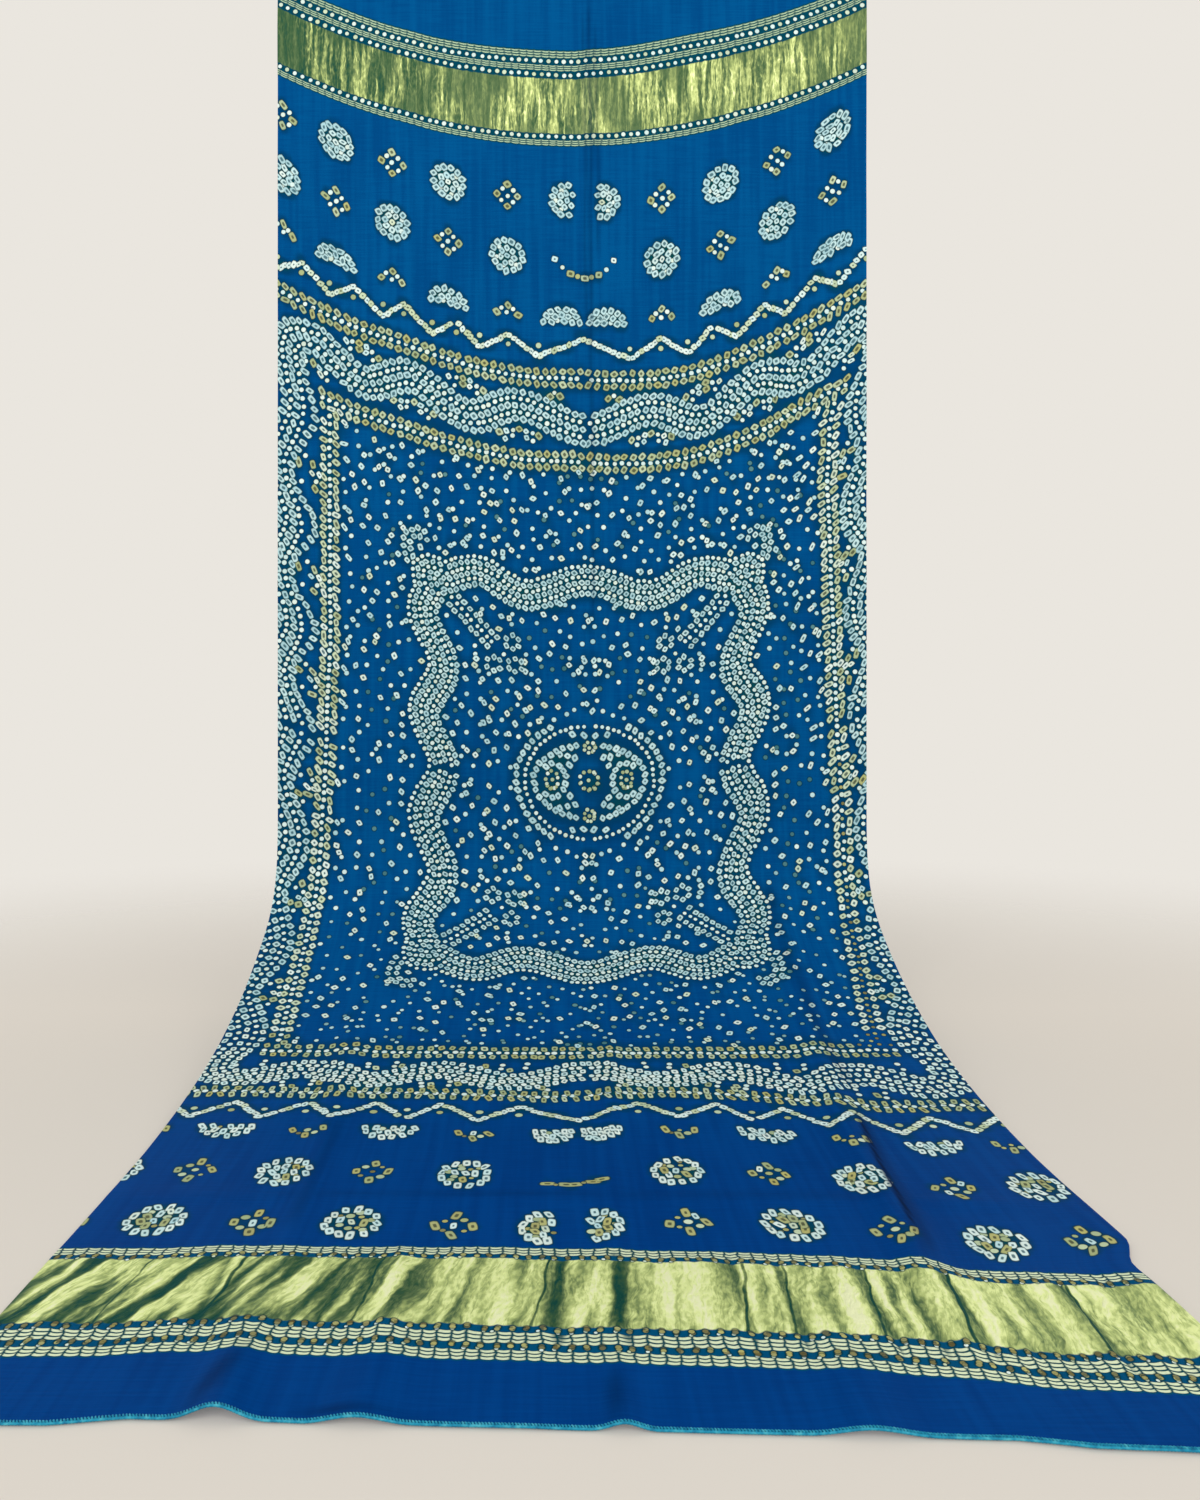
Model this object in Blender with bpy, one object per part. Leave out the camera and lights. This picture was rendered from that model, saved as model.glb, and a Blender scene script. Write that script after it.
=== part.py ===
"""Bandhani dupatta: one long silk cloth held at its top edge. It hangs straight down, sweeps
forward where it nears the floor, and its front end lies flat on the floor.

Frame: +Z up, the face of the cloth looks along -Y, +X is to the viewer's right.
Origin: under the middle of the whole shape, on the floor.

A place on the cloth is given by two distances in metres. "across" runs from the middle line
to the right selvedge. "along" runs down the cloth from the bend, the level where it leaves
the vertical: it is negative on the hanging part and positive on the sweep and the floor.
"""
import math

import bmesh
import bpy
import numpy as np

# Driving dimensions, in metres
WIDTH = 0.900            # selvedge to selvedge
THICKNESS = 0.002        # of the cloth, crinkles included
TOP_AT_MIDDLE = 1.569    # height of the top edge on the middle line
TOP_AT_CORNERS = 1.679   # height of the two top corners, between which the top edge sags
HEM_REACH = 0.993        # from the hanging part to the front hem, on the middle line
HEM_SKEW = 0.040         # how much further forward the hem lies for each metre to the right
FLOOR_DRIFT = 0.050      # how far the middle line moves right for each metre forward

# The sweep: how steep the cloth is, in degrees from level, at distances along it
SWEEP_COLUMNS = ("along", "steepness")
SWEEP = (
    (0.000, 90.0),
    (0.050, 84.0),
    (0.094, 70.0),
    (0.136, 50.0),
    (0.176, 35.0),
    (0.213, 29.5),
    (0.280, 25.0),
    (0.404, 16.0),
    (0.510, 9.3),
    (0.617, 5.0),
    (0.735, 0.7),
    (0.800, 0.0),
)
SWEEP_STEPS = 800        # steps that add the sweep's slopes up to a curve

# Folds and creases that stand up from the cloth's even surface. Each runs from one place to
# another, rises from the first height to the second, and fades out over FOLD_FADE past its
# ends, unless an end lies at the hem or the top edge.
FOLD_COLUMNS = ("across_from", "along_from", "across_to", "along_to",
                "half_width", "height_from", "height_to")
FOLDS = {
    "middle crease, hanging": (0.029, -1.45, 0.034, 0.00, 0.035, 0.0035, 0.0020),
    "middle fold, floor": (0.036, 0.52, 0.006, 1.13, 0.036, 0.0040, 0.0075),
    "right crease, hanging": (0.257, -1.10, 0.300, 0.00, 0.045, 0.0025, 0.0035),
    "right fold, sweep to band": (0.315, 0.08, 0.262, 0.98, 0.045, 0.0050, 0.0060),
    "left crease, hanging": (-0.250, -1.20, -0.285, -0.10, 0.050, 0.0030, 0.0020),
    "left fold, sweep to hem": (-0.291, 0.45, -0.262, 1.13, 0.045, 0.0045, 0.0110),
    "left hem ripple": (-0.150, 1.00, -0.166, 1.13, 0.036, 0.0020, 0.0050),
    "right hem ripple": (0.175, 1.02, 0.160, 1.13, 0.040, 0.0015, 0.0040),
    "right selvedge lift": (0.440, 0.86, 0.448, 1.13, 0.036, 0.0020, 0.0045),
    "crosswise crease, hanging": (-0.420, -0.345, 0.400, -0.285, 0.040, 0.0020, 0.0025),
    "crosswise crease, floor": (-0.380, 0.800, 0.330, 0.815, 0.036, 0.0015, 0.0025),
}
FOLD_FADE = 0.100

# The grid of facets: columns from selvedge to selvedge, and rows in each zone down the cloth
COLUMNS_ACROSS = 36
ZONE_ROWS = {
    "hanging": 16,       # top edge to the bend
    "sweep": 24,         # bend to the floor
    "floor": 12,         # floor to the front hem
}
SLOPE_REACH = 0.001      # how far to either side a slope is measured

CLOTH_BLUE = (0.004, 0.085, 0.340, 1.0)
CLOTH_ROUGHNESS = 0.45


def column(table, names, name):
    """One named column of a table, as an array."""
    return np.array([row[names.index(name)] for row in table])


def sweep_curve():
    """The even side view of the sweep: distances along, how far forward, how high."""
    places = column(SWEEP, SWEEP_COLUMNS, "along")
    steepness = np.radians(column(SWEEP, SWEEP_COLUMNS, "steepness"))
    along = np.linspace(places[0], places[-1], SWEEP_STEPS + 1)
    slope = np.interp(0.5 * (along[1:] + along[:-1]), places, steepness)
    step = along[1] - along[0]
    forward = np.concatenate(([0.0], np.cumsum(np.cos(slope)) * step))
    drop = np.concatenate((np.cumsum((np.sin(slope) * step)[::-1])[::-1], [0.0]))
    return along, forward, drop


SWEEP_ALONG, SWEEP_FORWARD, SWEEP_HEIGHT = sweep_curve()
BEND_HEIGHT = SWEEP_HEIGHT[0]    # where the cloth leaves the vertical
SWEEP_END = SWEEP_ALONG[-1]      # where it meets the floor


def side_view(along):
    """How far forward and how high the even cloth is at a place along it."""
    if along <= 0.0:
        return 0.0, BEND_HEIGHT - along
    if along >= SWEEP_END:
        return SWEEP_FORWARD[-1] + along - SWEEP_END, 0.0
    return (float(np.interp(along, SWEEP_ALONG, SWEEP_FORWARD)),
            float(np.interp(along, SWEEP_ALONG, SWEEP_HEIGHT)))


def top_edge(across):
    """Where the top edge is, along: the cloth sags between its two held corners."""
    sag = TOP_AT_CORNERS - TOP_AT_MIDDLE
    height = TOP_AT_MIDDLE + sag * (across / (WIDTH / 2)) ** 2
    return BEND_HEIGHT - height


def front_hem(across):
    """Where the front hem is, along."""
    reach = HEM_REACH + HEM_SKEW * across
    return SWEEP_END + reach - SWEEP_FORWARD[-1]


def smooth_step(value):
    value = min(max(value, 0.0), 1.0)
    return value * value * (3.0 - 2.0 * value)


def fold_height(across, along):
    """How far the folds lift the cloth at a place."""
    lift = 0.0
    for row in FOLDS.values():
        fold = dict(zip(FOLD_COLUMNS, row))
        start = np.array((fold["across_from"], fold["along_from"]))
        run = np.array((fold["across_to"], fold["along_to"])) - start
        length = math.hypot(*run)
        offset = np.array((across, along)) - start
        way = float(offset @ run) / length
        aside = abs(float(offset[0] * run[1] - offset[1] * run[0])) / length
        if aside >= fold["half_width"]:
            continue
        share = min(max(way / length, 0.0), 1.0)
        height = fold["height_from"] + share * (fold["height_to"] - fold["height_from"])
        fade = smooth_step(1.0 + way / FOLD_FADE) * smooth_step(1.0 + (length - way) / FOLD_FADE)
        crest = 0.5 * (1.0 + math.cos(math.pi * aside / fold["half_width"]))
        lift = max(lift, height * fade * crest)
    return lift


def even_point(across, along):
    """A point of the cloth's back without folds, and the way its face looks there."""
    forward, height = side_view(along)
    forward_after, height_after = side_view(along + SLOPE_REACH)
    forward_before, height_before = side_view(along - SLOPE_REACH)
    down = np.array((0.0, forward_before - forward_after, height_after - height_before))
    face = np.cross(down, (1.0, 0.0, 0.0))
    face /= np.linalg.norm(face)
    return np.array((across + FLOOR_DRIFT * forward, -forward, height)), face


def back_point(across, along):
    point, face = even_point(across, along)
    return point + fold_height(across, along) * face


def rows_along(across):
    """The places of the grid's rows on one line down the cloth."""
    ends = {
        "hanging": (top_edge(across), 0.0),
        "sweep": (0.0, SWEEP_END),
        "floor": (SWEEP_END, front_hem(across)),
    }
    rows = [top_edge(across)]
    for zone, (first, last) in ends.items():
        count = ZONE_ROWS[zone]
        rows += [first + (last - first) * (index + 1) / count for index in range(count)]
    return rows


def cloth_grids():
    """The grid of back points and, one thickness off them, the grid of face points."""
    back = []
    for index in range(COLUMNS_ACROSS + 1):
        across = WIDTH * (index / COLUMNS_ACROSS - 0.5)
        back.append([back_point(across, along) for along in rows_along(across)])
    back = np.array(back)
    side = np.gradient(back, axis=0)
    down = np.gradient(back, axis=1)
    normal = np.cross(down, side)
    normal /= np.linalg.norm(normal, axis=2, keepdims=True)
    return back, back + THICKNESS * normal


def centre_on_floor(*grids):
    """Move the grids so that the whole shape's middle is over the origin."""
    points = np.concatenate([grid.reshape(-1, 3) for grid in grids])
    middle = 0.5 * (points.min(axis=0) + points.max(axis=0))
    shift = np.array((middle[0], middle[1], points[:, 2].min()))
    return [grid - shift for grid in grids]


def cloth_mesh(name):
    """A closed sheet: the back, the face, and the four edges between them."""
    back, face = centre_on_floor(*cloth_grids())
    work = bmesh.new()
    back_verts = [[work.verts.new(point) for point in line] for line in back]
    face_verts = [[work.verts.new(point) for point in line] for line in face]
    last_line = len(back_verts) - 1
    last_row = len(back_verts[0]) - 1
    for line in range(last_line):
        for row in range(last_row):
            corners = ((line, row), (line, row + 1), (line + 1, row + 1), (line + 1, row))
            work.faces.new([face_verts[i][j] for i, j in corners])
            work.faces.new([back_verts[i][j] for i, j in reversed(corners)])
    border = [(0, row) for row in range(last_row)]
    border += [(line, last_row) for line in range(last_line)]
    border += [(last_line, row) for row in range(last_row, 0, -1)]
    border += [(line, 0) for line in range(last_line, 0, -1)]
    for (i, j), (k, m) in zip(border, border[1:] + border[:1]):
        work.faces.new((back_verts[i][j], back_verts[k][m], face_verts[k][m], face_verts[i][j]))
    bmesh.ops.triangulate(work, faces=work.faces)
    bmesh.ops.recalc_face_normals(work, faces=work.faces)
    mesh = bpy.data.meshes.new(name)
    work.to_mesh(mesh)
    work.free()
    return mesh


def cloth_material():
    material = bpy.data.materials.new("cloth")
    material.use_nodes = True
    shader = material.node_tree.nodes["Principled BSDF"]
    shader.inputs["Base Color"].default_value = CLOTH_BLUE
    shader.inputs["Roughness"].default_value = CLOTH_ROUGHNESS
    shader.inputs["Metallic"].default_value = 0.0
    return material


def build():
    for old in list(bpy.data.objects):
        bpy.data.objects.remove(old, do_unlink=True)
    cloth = bpy.data.objects.new("cloth", cloth_mesh("cloth"))
    cloth.data.materials.append(cloth_material())
    cloth.data.shade_smooth()
    bpy.context.scene.collection.objects.link(cloth)


build()
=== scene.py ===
import math
import bpy
import numpy as np
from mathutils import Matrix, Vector


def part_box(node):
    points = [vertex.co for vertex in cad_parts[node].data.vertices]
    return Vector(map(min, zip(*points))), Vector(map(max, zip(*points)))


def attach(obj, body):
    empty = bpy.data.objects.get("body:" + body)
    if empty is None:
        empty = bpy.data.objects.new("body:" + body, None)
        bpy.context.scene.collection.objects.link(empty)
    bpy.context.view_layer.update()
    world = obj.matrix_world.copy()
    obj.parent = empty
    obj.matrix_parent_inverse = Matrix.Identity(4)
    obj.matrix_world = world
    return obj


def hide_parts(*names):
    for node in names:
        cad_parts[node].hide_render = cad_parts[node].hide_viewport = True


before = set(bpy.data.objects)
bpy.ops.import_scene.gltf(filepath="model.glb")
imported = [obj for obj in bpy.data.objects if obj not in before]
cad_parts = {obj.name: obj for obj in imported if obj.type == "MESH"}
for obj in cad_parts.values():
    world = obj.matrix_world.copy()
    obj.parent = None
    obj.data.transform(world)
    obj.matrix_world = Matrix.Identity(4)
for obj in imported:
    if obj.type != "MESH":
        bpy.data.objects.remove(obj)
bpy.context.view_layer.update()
clothLow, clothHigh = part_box("cloth")

# places on the cloth: "across" from its middle line, "along" down from the bend, in metres
cloth = {
    "width": 0.900,
    "flatLength": 2.50,
    "thickness": 0.0009,
    "offFloor": 0.0009,          # the edging under the hem lifts the back this far off the floor
    "topAtMiddle": 1.569,
    "topAtCorners": 1.679,
    "hemReach": 0.993,
    "hemSkew": 0.040,
    "floorDrift": 0.050,
    "columns": 280,
    "rows": {"hanging": 84, "sweep": 52, "floor": 36},
}
halfCloth = cloth["width"] / 2
columnWidth = cloth["width"] / cloth["columns"]
middleX = clothLow[0] + halfCloth       # the middle line of the hanging part
sweepAlong = (0.000, 0.050, 0.094, 0.136, 0.176, 0.213, 0.280, 0.404, 0.510, 0.617, 0.735, 0.800)
sweepSteep = (90.0, 84.0, 70.0, 50.0, 35.0, 29.5, 25.0, 16.0, 9.3, 5.0, 0.7, 0.0)

# folds: from (across, along) to (across, along), half width, height at both ends, sharpness
folds = {
    "middle crease": ((0.029, -1.45), (0.034, 0.00), 0.030, (0.0022, 0.0012), 1.6),
    "middle fold": ((0.036, 0.50), (0.014, 0.90), 0.024, (0.0030, 0.0018), 1.5),
    "middle hem fold": ((0.008, 1.07), (0.006, 1.14), 0.024, (0.0012, 0.0048), 1.5),
    "right crease": ((0.257, -1.10), (0.300, 0.00), 0.045, (0.0022, 0.0030), 1.2),
    "right fold": ((0.315, 0.06), (0.262, 0.98), 0.040, (0.0045, 0.0060), 1.6),
    "left crease": ((-0.250, -1.20), (-0.285, -0.10), 0.050, (0.0026, 0.0018), 1.2),
    "left fold": ((-0.287, 0.42), (-0.262, 0.86), 0.036, (0.0040, 0.0016), 1.6),
    "left hem fold": ((-0.262, 1.01), (-0.254, 1.14), 0.040, (0.0024, 0.0100), 1.7),
    "left ripple": ((-0.150, 0.98), (-0.166, 1.14), 0.036, (0.0015, 0.0050), 1.0),
    "right ripple": ((0.175, 1.00), (0.160, 1.14), 0.040, (0.0012, 0.0040), 1.0),
    "selvedge lift": ((0.440, 0.86), (0.448, 1.14), 0.036, (0.0018, 0.0042), 1.0),
    "cross crease": ((-0.420, -0.345), (0.400, -0.285), 0.030, (0.0016, 0.0020), 1.5),
    "floor crease": ((-0.380, 0.800), (0.330, 0.815), 0.026, (0.0012, 0.0020), 1.5),
}
foldFade = 0.100
hemWander = ((-0.45, -0.36, -0.31, 0.25, 0.30, 0.45), (0.013, 0.010, 0.002, 0.000, 0.006, 0.008))
# the right selvedge draws in a little near the front
drawIn = {"along": (0.885, 0.935), "across": (0.20, 0.45), "depth": 0.018}
# soft dark lines of painted shade along pressed creases: from, to, half width, strength
creaseShadeLines = (
    ((0.306, 0.62), (0.275, 0.92), 0.0070, 0.42), ((0.302, 0.62), (0.273, 0.88), 0.0029, 1.15),
    ((0.006, 1.07), (0.003, 1.13), 0.0070, 0.50),
    ((-0.254, 1.05), (-0.270, 1.115), 0.0085, 0.55), ((-0.200, 1.112), (-0.110, 1.124), 0.0040, 0.55),
    ((0.019, -1.22), (0.021, -0.74), 0.0030, 0.30), ((0.0275, -1.24), (0.030, -0.30), 0.0030, 0.42),
    ((0.037, -1.20), (0.040, -0.86), 0.0030, 0.30), ((0.300, 0.10), (0.312, 0.55), 0.0080, 0.30),
    ((-0.262, 0.62), (-0.268, 0.86), 0.0070, 0.30), ((-0.300, 0.800), (0.290, 0.806), 0.0050, 0.22),
)


def smoothStep(low, high, value):
    share = np.clip((value - low) / (high - low), 0.0, 1.0)
    return share * share * (3.0 - 2.0 * share)


def sweepCurve(steps=2000):
    # the side view of the sweep, added up from its steepness
    along = np.linspace(sweepAlong[0], sweepAlong[-1], steps + 1)
    slope = np.radians(np.interp(along, sweepAlong, sweepSteep))
    middle = 0.5 * (slope[1:] + slope[:-1])
    step = along[1] - along[0]
    forward = np.concatenate(([0.0], np.cumsum(np.cos(middle)) * step))
    height = np.concatenate((np.cumsum((np.sin(middle) * step)[::-1])[::-1], [0.0]))
    return along, slope, forward, height


curveAlong, curveSlope, curveForward, curveHeight = sweepCurve()
bendHeight = curveHeight[0]
sweepEnd = curveAlong[-1]


def sideView(along):
    forward = np.interp(along, curveAlong, curveForward) + np.maximum(along - sweepEnd, 0.0)
    height = np.interp(along, curveAlong, curveHeight) + np.maximum(-along, 0.0)
    slope = np.interp(along, curveAlong, curveSlope)
    return forward, height, slope


def topEdge(across):
    sag = cloth["topAtCorners"] - cloth["topAtMiddle"]
    return bendHeight - cloth["topAtMiddle"] - sag * (across / halfCloth) ** 2


def frontHem(across):
    wander = np.interp(across, *hemWander)
    return sweepEnd + cloth["hemReach"] + cloth["hemSkew"] * across - curveForward[-1] + wander


def softNoise(x, y, seed, cells=512):
    # smooth random values between -1 and 1, one cell a unit
    table = np.random.default_rng(seed).uniform(-1.0, 1.0, (cells, cells))
    left, low = np.floor(x).astype(int), np.floor(y).astype(int)
    shareX, shareY = smoothStep(0, 1, x - left), smoothStep(0, 1, y - low)

    def row(up):
        start, end = table[left % cells, up % cells], table[(left + 1) % cells, up % cells]
        return start * (1 - shareX) + end * shareX

    return row(low) * (1 - shareY) + row(low + 1) * shareY


# the woven bands at both ends: places are distances from the outermost metal line, off the hem
topParts = {
    "outerLines": (0.0000, 0.0115),
    "outerDots": 0.0168,
    "middleLines": (0.0220, 0.0315),
    "innerDots": 0.0375,
    "tissue": (0.0435, 0.1270),
    "lastDots": 0.1318,
    "innerLines": (0.1365, 0.1455),
}
frontParts = {
    "outerLines": (0.0000, 0.0112),
    "outerDots": 0.0146,
    "middleLines": (0.0180, 0.0308),
    "innerDots": 0.0343,
    "tissue": (0.0380, 0.1275),
    "lastDots": 0.1306,
    "innerLines": (0.1338, 0.1462),
}
topBand = {
    "parts": topParts, "thread": (0.50, -0.30), "valleyShade": 0.5,
    "fromHem": 0.109, "stretch": 1.00, "dotPitch": 0.0114, "seed": 41,
    "pleat": 0.0030, "pleatWidth": 0.0105, "fine": 0.0009,
    "valleys": ((0.031, 0.0028), (0.066, 0.0028), (0.172, 0.0032)),
}
frontBand = {
    "parts": frontParts, "thread": (0.74, 0.10), "valleyShade": 1.2,
    "fromHem": 0.068, "stretch": 1.07, "dotPitch": 0.0108, "seed": 61,
    "stripAt": ((-0.45, -0.30, -0.15, 0.10, 0.20, 0.30, 0.45),
                (0.0712, 0.0715, 0.0700, 0.0680, 0.0630, 0.0570, 0.0565)),
    "stretchAt": ((-0.45, -0.25, -0.10, 0.20, 0.30, 0.45), (1.05, 1.04, 1.09, 1.10, 1.06, 1.05)),
    # dark lines of painted shade in the creases of the front tissue: place across, half width, strength
    "tissueCreaseShade": ((-0.2965, 0.0016, 0.55), (-0.3720, 0.0010, 0.30), (-0.1830, 0.0010, 0.30),
              (-0.0477, 0.0013, 0.40), (-0.0363, 0.0050, 0.26), (0.0135, 0.0055, 0.32),
              (0.1100, 0.0016, 0.55), (0.1436, 0.0012, 0.36), (0.2070, 0.0012, 0.36),
              (0.2220, 0.0050, 0.22), (0.2740, 0.0017, 0.60), (0.3756, 0.0016, 0.55)),
    "pleat": 0.0042, "pleatWidth": 0.0150, "fine": 0.0008,
    "valleys": ((-0.301, 0.0034), (-0.034, 0.0066), (0.0156, 0.0074), (0.108, 0.0034), (0.143, 0.0028),
                (0.208, 0.0030), (0.239, 0.0040), (0.276, 0.0034), (0.372, 0.0034)),
}

# the pleats of both bands: how far they run on past the tissue, how they lean and wander, and how
# their waves (width, changes for each metre down, share) add up to a height and to painted shade and highlight
# on the tissue
pleats = {
    "before": 0.045, "after": 0.030, "soft": 0.006,
    "lean": 0.0045, "wander": 0.0022, "valleyShare": 0.9,
    "broad": (1.0, 2.2, 0.36), "middle": (0.55, 5.0, 0.20), "fine": (0.0062, 11.0), "patch": 0.28,
    "fullSlope": 0.22, "slopeShade": 0.62, "heightShade": 0.42, "fineShade": 0.22,
}


def crinkle(band, across, fromHem):
    # pleats that run down the cloth in a woven band: their height, and a wave of painted shade and highlight on
    # the tissue
    place = (fromHem - band["fromHem"]) / band["stretch"]
    start, end = band["parts"]["tissue"]
    soft, seed = pleats["soft"], band["seed"]
    inside = smoothStep(start - pleats["before"], start + soft, place)
    inside = inside * (1 - smoothStep(end - soft, end + pleats["after"], place))
    lean = across + pleats["lean"] * softNoise(across * 8, place * 13, seed)
    height = 0.5
    for number, name in enumerate(("broad", "middle"), 1):
        width, changes, share = pleats[name]
        turns = lean / (width * band["pleatWidth"])
        height = height + share * softNoise(turns, place * changes, seed + number)
    width, changes = pleats["fine"]
    fine = softNoise(lean / width, place * changes, seed + 3)
    patch = pleats["patch"] * softNoise(across * 6.0, place * 2.0, seed + 4)
    height = height * (1 - pleats["patch"] + patch)
    dips = np.zeros_like(height)
    for line, halfWidth in band["valleys"]:
        aside = across - line + pleats["wander"] * softNoise(place * 22 + 50 * line, 0 * place, seed + 5)
        dips = np.maximum(dips, np.exp(-(aside / halfWidth) ** 2))
    height = height * (1 - pleats["valleyShare"] * dips)
    slope = np.gradient(height, axis=0) / columnWidth * band["pleat"]
    # painted light: slopes facing one way lighter and the other darker, crests lighter, valleys darker
    wave = pleats["slopeShade"] * np.tanh(slope / pleats["fullSlope"])
    wave = wave + pleats["heightShade"] * (2 * height - 1)
    wave = wave + pleats["fineShade"] * fine - band["valleyShade"] * dips
    return (band["pleat"] * height + band["fine"] * fine) * inside, wave * inside


def besideLine(start, end, across, along):
    # how far each place lies along a line and beside it, and how long the line is
    run = np.subtract(end, start)
    length = math.hypot(*run)
    dx, dy = across - start[0], along - start[1]
    return (dx * run[0] + dy * run[1]) / length, (dx * run[1] - dy * run[0]) / length, length


def foldHeight(across, along):
    lift = np.zeros_like(across)
    for start, end, halfWidth, heights, sharp in folds.values():
        way, aside, length = besideLine(start, end, across, along)
        fade = smoothStep(-foldFade, 0, way) * (1 - smoothStep(length, length + foldFade, way))
        crest = smoothStep(0, 1, 1 - np.abs(aside) / halfWidth) ** sharp
        height = heights[0] + np.clip(way / length, 0, 1) * (heights[1] - heights[0])
        lift = np.maximum(lift, height * fade * crest)
    return lift


# small waves of the loose silk and dents between them: height, share of it that is lost on the floor
looseSilk = {"waves": (0.0009, 0.35), "dents": (0.0005, 0.40), "waveShare": 0.6, "floor": (0.45, 0.75)}


def unevenness(across, along):
    down = softNoise(across / 0.060, along / 0.42, 21) + 0.5 * softNoise(across / 0.027, along / 0.22, 22)
    patches = softNoise(across / 0.11, along / 0.09, 23) + 0.5 * softNoise(across / 0.045, along / 0.040, 24)
    onFloor = smoothStep(*looseSilk["floor"], along)
    (high, lost), (dent, dentLost) = looseSilk["waves"], looseSilk["dents"]
    waves = high * (1 + looseSilk["waveShare"] * down) * (1 - lost * onFloor)
    return waves + dent * patches * (1 - dentLost * onFloor)


def creaseShade(across, along, wander=0.003, ends=(0.02, 0.03)):
    shade = np.zeros_like(across)
    for start, end, halfWidth, strength in creaseShadeLines:
        way, aside, length = besideLine(start, end, across, along)
        aside = aside + wander * softNoise(way * 9, 0 * way, 31)
        outside, inside = ends
        fade = smoothStep(-outside, inside, way) * (1 - smoothStep(length - inside, length + outside, way))
        shade = np.maximum(shade, strength * fade * np.exp(-(aside / halfWidth) ** 2))
    return shade


def clothPoints(across, along, fromTop, fromFront):
    forward, height, slope = sideView(along)
    topHeight, topPleatShade = crinkle(topBand, across, fromTop)
    frontHeight, frontPleatShade = crinkle(frontBand, across, fromFront)
    lift = cloth["offFloor"] + foldHeight(across, along) + np.maximum(unevenness(across, along), 0)
    lift = lift + np.maximum(topHeight, 0) + np.maximum(frontHeight, 0)
    drawn = drawIn["depth"] * smoothStep(*drawIn["along"], along) * smoothStep(*drawIn["across"], across)
    points = np.stack((
        middleX + across - drawn + cloth["floorDrift"] * forward,
        clothHigh[1] - forward - lift * np.sin(slope),
        height + lift * np.cos(slope),
    ), axis=-1)
    return points, topPleatShade + frontPleatShade


# the tied pattern, worked out in one quarter and mirrored: the cloth is folded in four to tie it
# tone runs from faint over ring white, bead white and cream to pale yellow and gold
dotKinds = {
    "bead": {"size": 0.0035, "hole": 0.00, "tone": (0.42, 0.54)},
    "fieldBead": {"size": 0.0035, "hole": 0.00, "tone": (0.26, 0.48)},
    "lowBead": {"size": 0.0029, "hole": 0.00, "tone": (0.16, 0.40)},
    "floorRing": {"size": 0.0051, "hole": 0.34, "tone": (0.38, 0.52)},
    "smallRing": {"size": 0.0045, "hole": 0.33, "tone": (0.28, 0.58)},
    "ring": {"size": 0.0054, "hole": 0.43, "tone": (0.27, 0.38)},
    "innerRing": {"size": 0.0044, "hole": 0.42, "tone": (0.26, 0.40)},
    "coreRing": {"size": 0.0050, "hole": 0.36, "tone": (0.27, 0.44)},
    "patch": {"size": 0.0050, "hole": 0.30, "tone": (0.26, 0.40)},
    "goldRing": {"size": 0.0055, "hole": 0.43, "tone": (0.62, 0.80)},
    "sideRing": {"size": 0.0052, "hole": 0.42, "tone": (0.50, 0.70)},
    "flatRing": {"size": 0.0046, "hole": 0.36, "tone": (0.38, 0.52)},
    "flatGold": {"size": 0.0047, "hole": 0.40, "tone": (0.60, 0.82)},
    "sunRing": {"size": 0.0055, "hole": 0.36, "tone": (0.74, 0.87)},
    "creamRing": {"size": 0.0054, "hole": 0.36, "tone": (0.48, 0.62)},
    "goldBead": {"size": 0.0040, "hole": 0.10, "tone": (0.56, 0.78)},
    "creamBead": {"size": 0.0029, "hole": 0.00, "tone": (0.50, 0.76)},
    "dash": {"size": 0.0048, "hole": 0.26, "tone": (0.42, 0.64)},
    "faint": {"size": 0.0034, "hole": 0.10, "tone": (0.04, 0.16)},
    "bandBead": {"size": 0.0032, "hole": 0.05, "tone": (0.42, 0.60)},
    "knot": {"size": 0.0022, "hole": 0.05, "tone": (0.84, 1.00)},
    "knotHighlight": {"size": 0.0015, "hole": 0.00, "tone": (0.46, 0.62)},
    "innerBead": {"size": 0.0031, "hole": 0.00, "tone": (0.40, 0.54)},
    "brownDot": {"size": 0.0026, "hole": 0.10, "tone": (0.74, 0.96)},
}
pattern = {
    "frameX": 0.3919, "frameY": 0.4868, "outerLine": 0.6138,
    "lineGap": 0.0097, "ringPitch": 0.0132, "beadPitch": 0.0109,
    "waveGap": 0.0104, "waveRingPitch": 0.0120, "waveBeadPitch": 0.0106,
    "bandGap": 0.0083, "bandRingPitch": 0.0102, "bandBeadPitch": 0.0094,
    "zigzagTurns": (0.0, 0.0704, 0.1163, 0.1592, 0.1959, 0.2327, 0.2755, 0.3077, 0.3521, 0.3888, 0.4301,
                    0.4669, 0.51),
    "zigzagPeak": 0.6750, "zigzagDip": 0.6460, "zigzagPitch": 0.0080,
    "flowerColumns": (0.0344, 0.1179, 0.2082, 0.2939, 0.3796, 0.4592),
    "flowerRows": (0.7050, 0.7945, 0.8860),
    "fieldGap": 0.0158, "fieldClear": 0.0122, "fieldPairs": 0.38, "fieldOval": (0.1250, 0.1020),
    "jitter": 0.0006, "fieldJitter": 0.0020,
}
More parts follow.
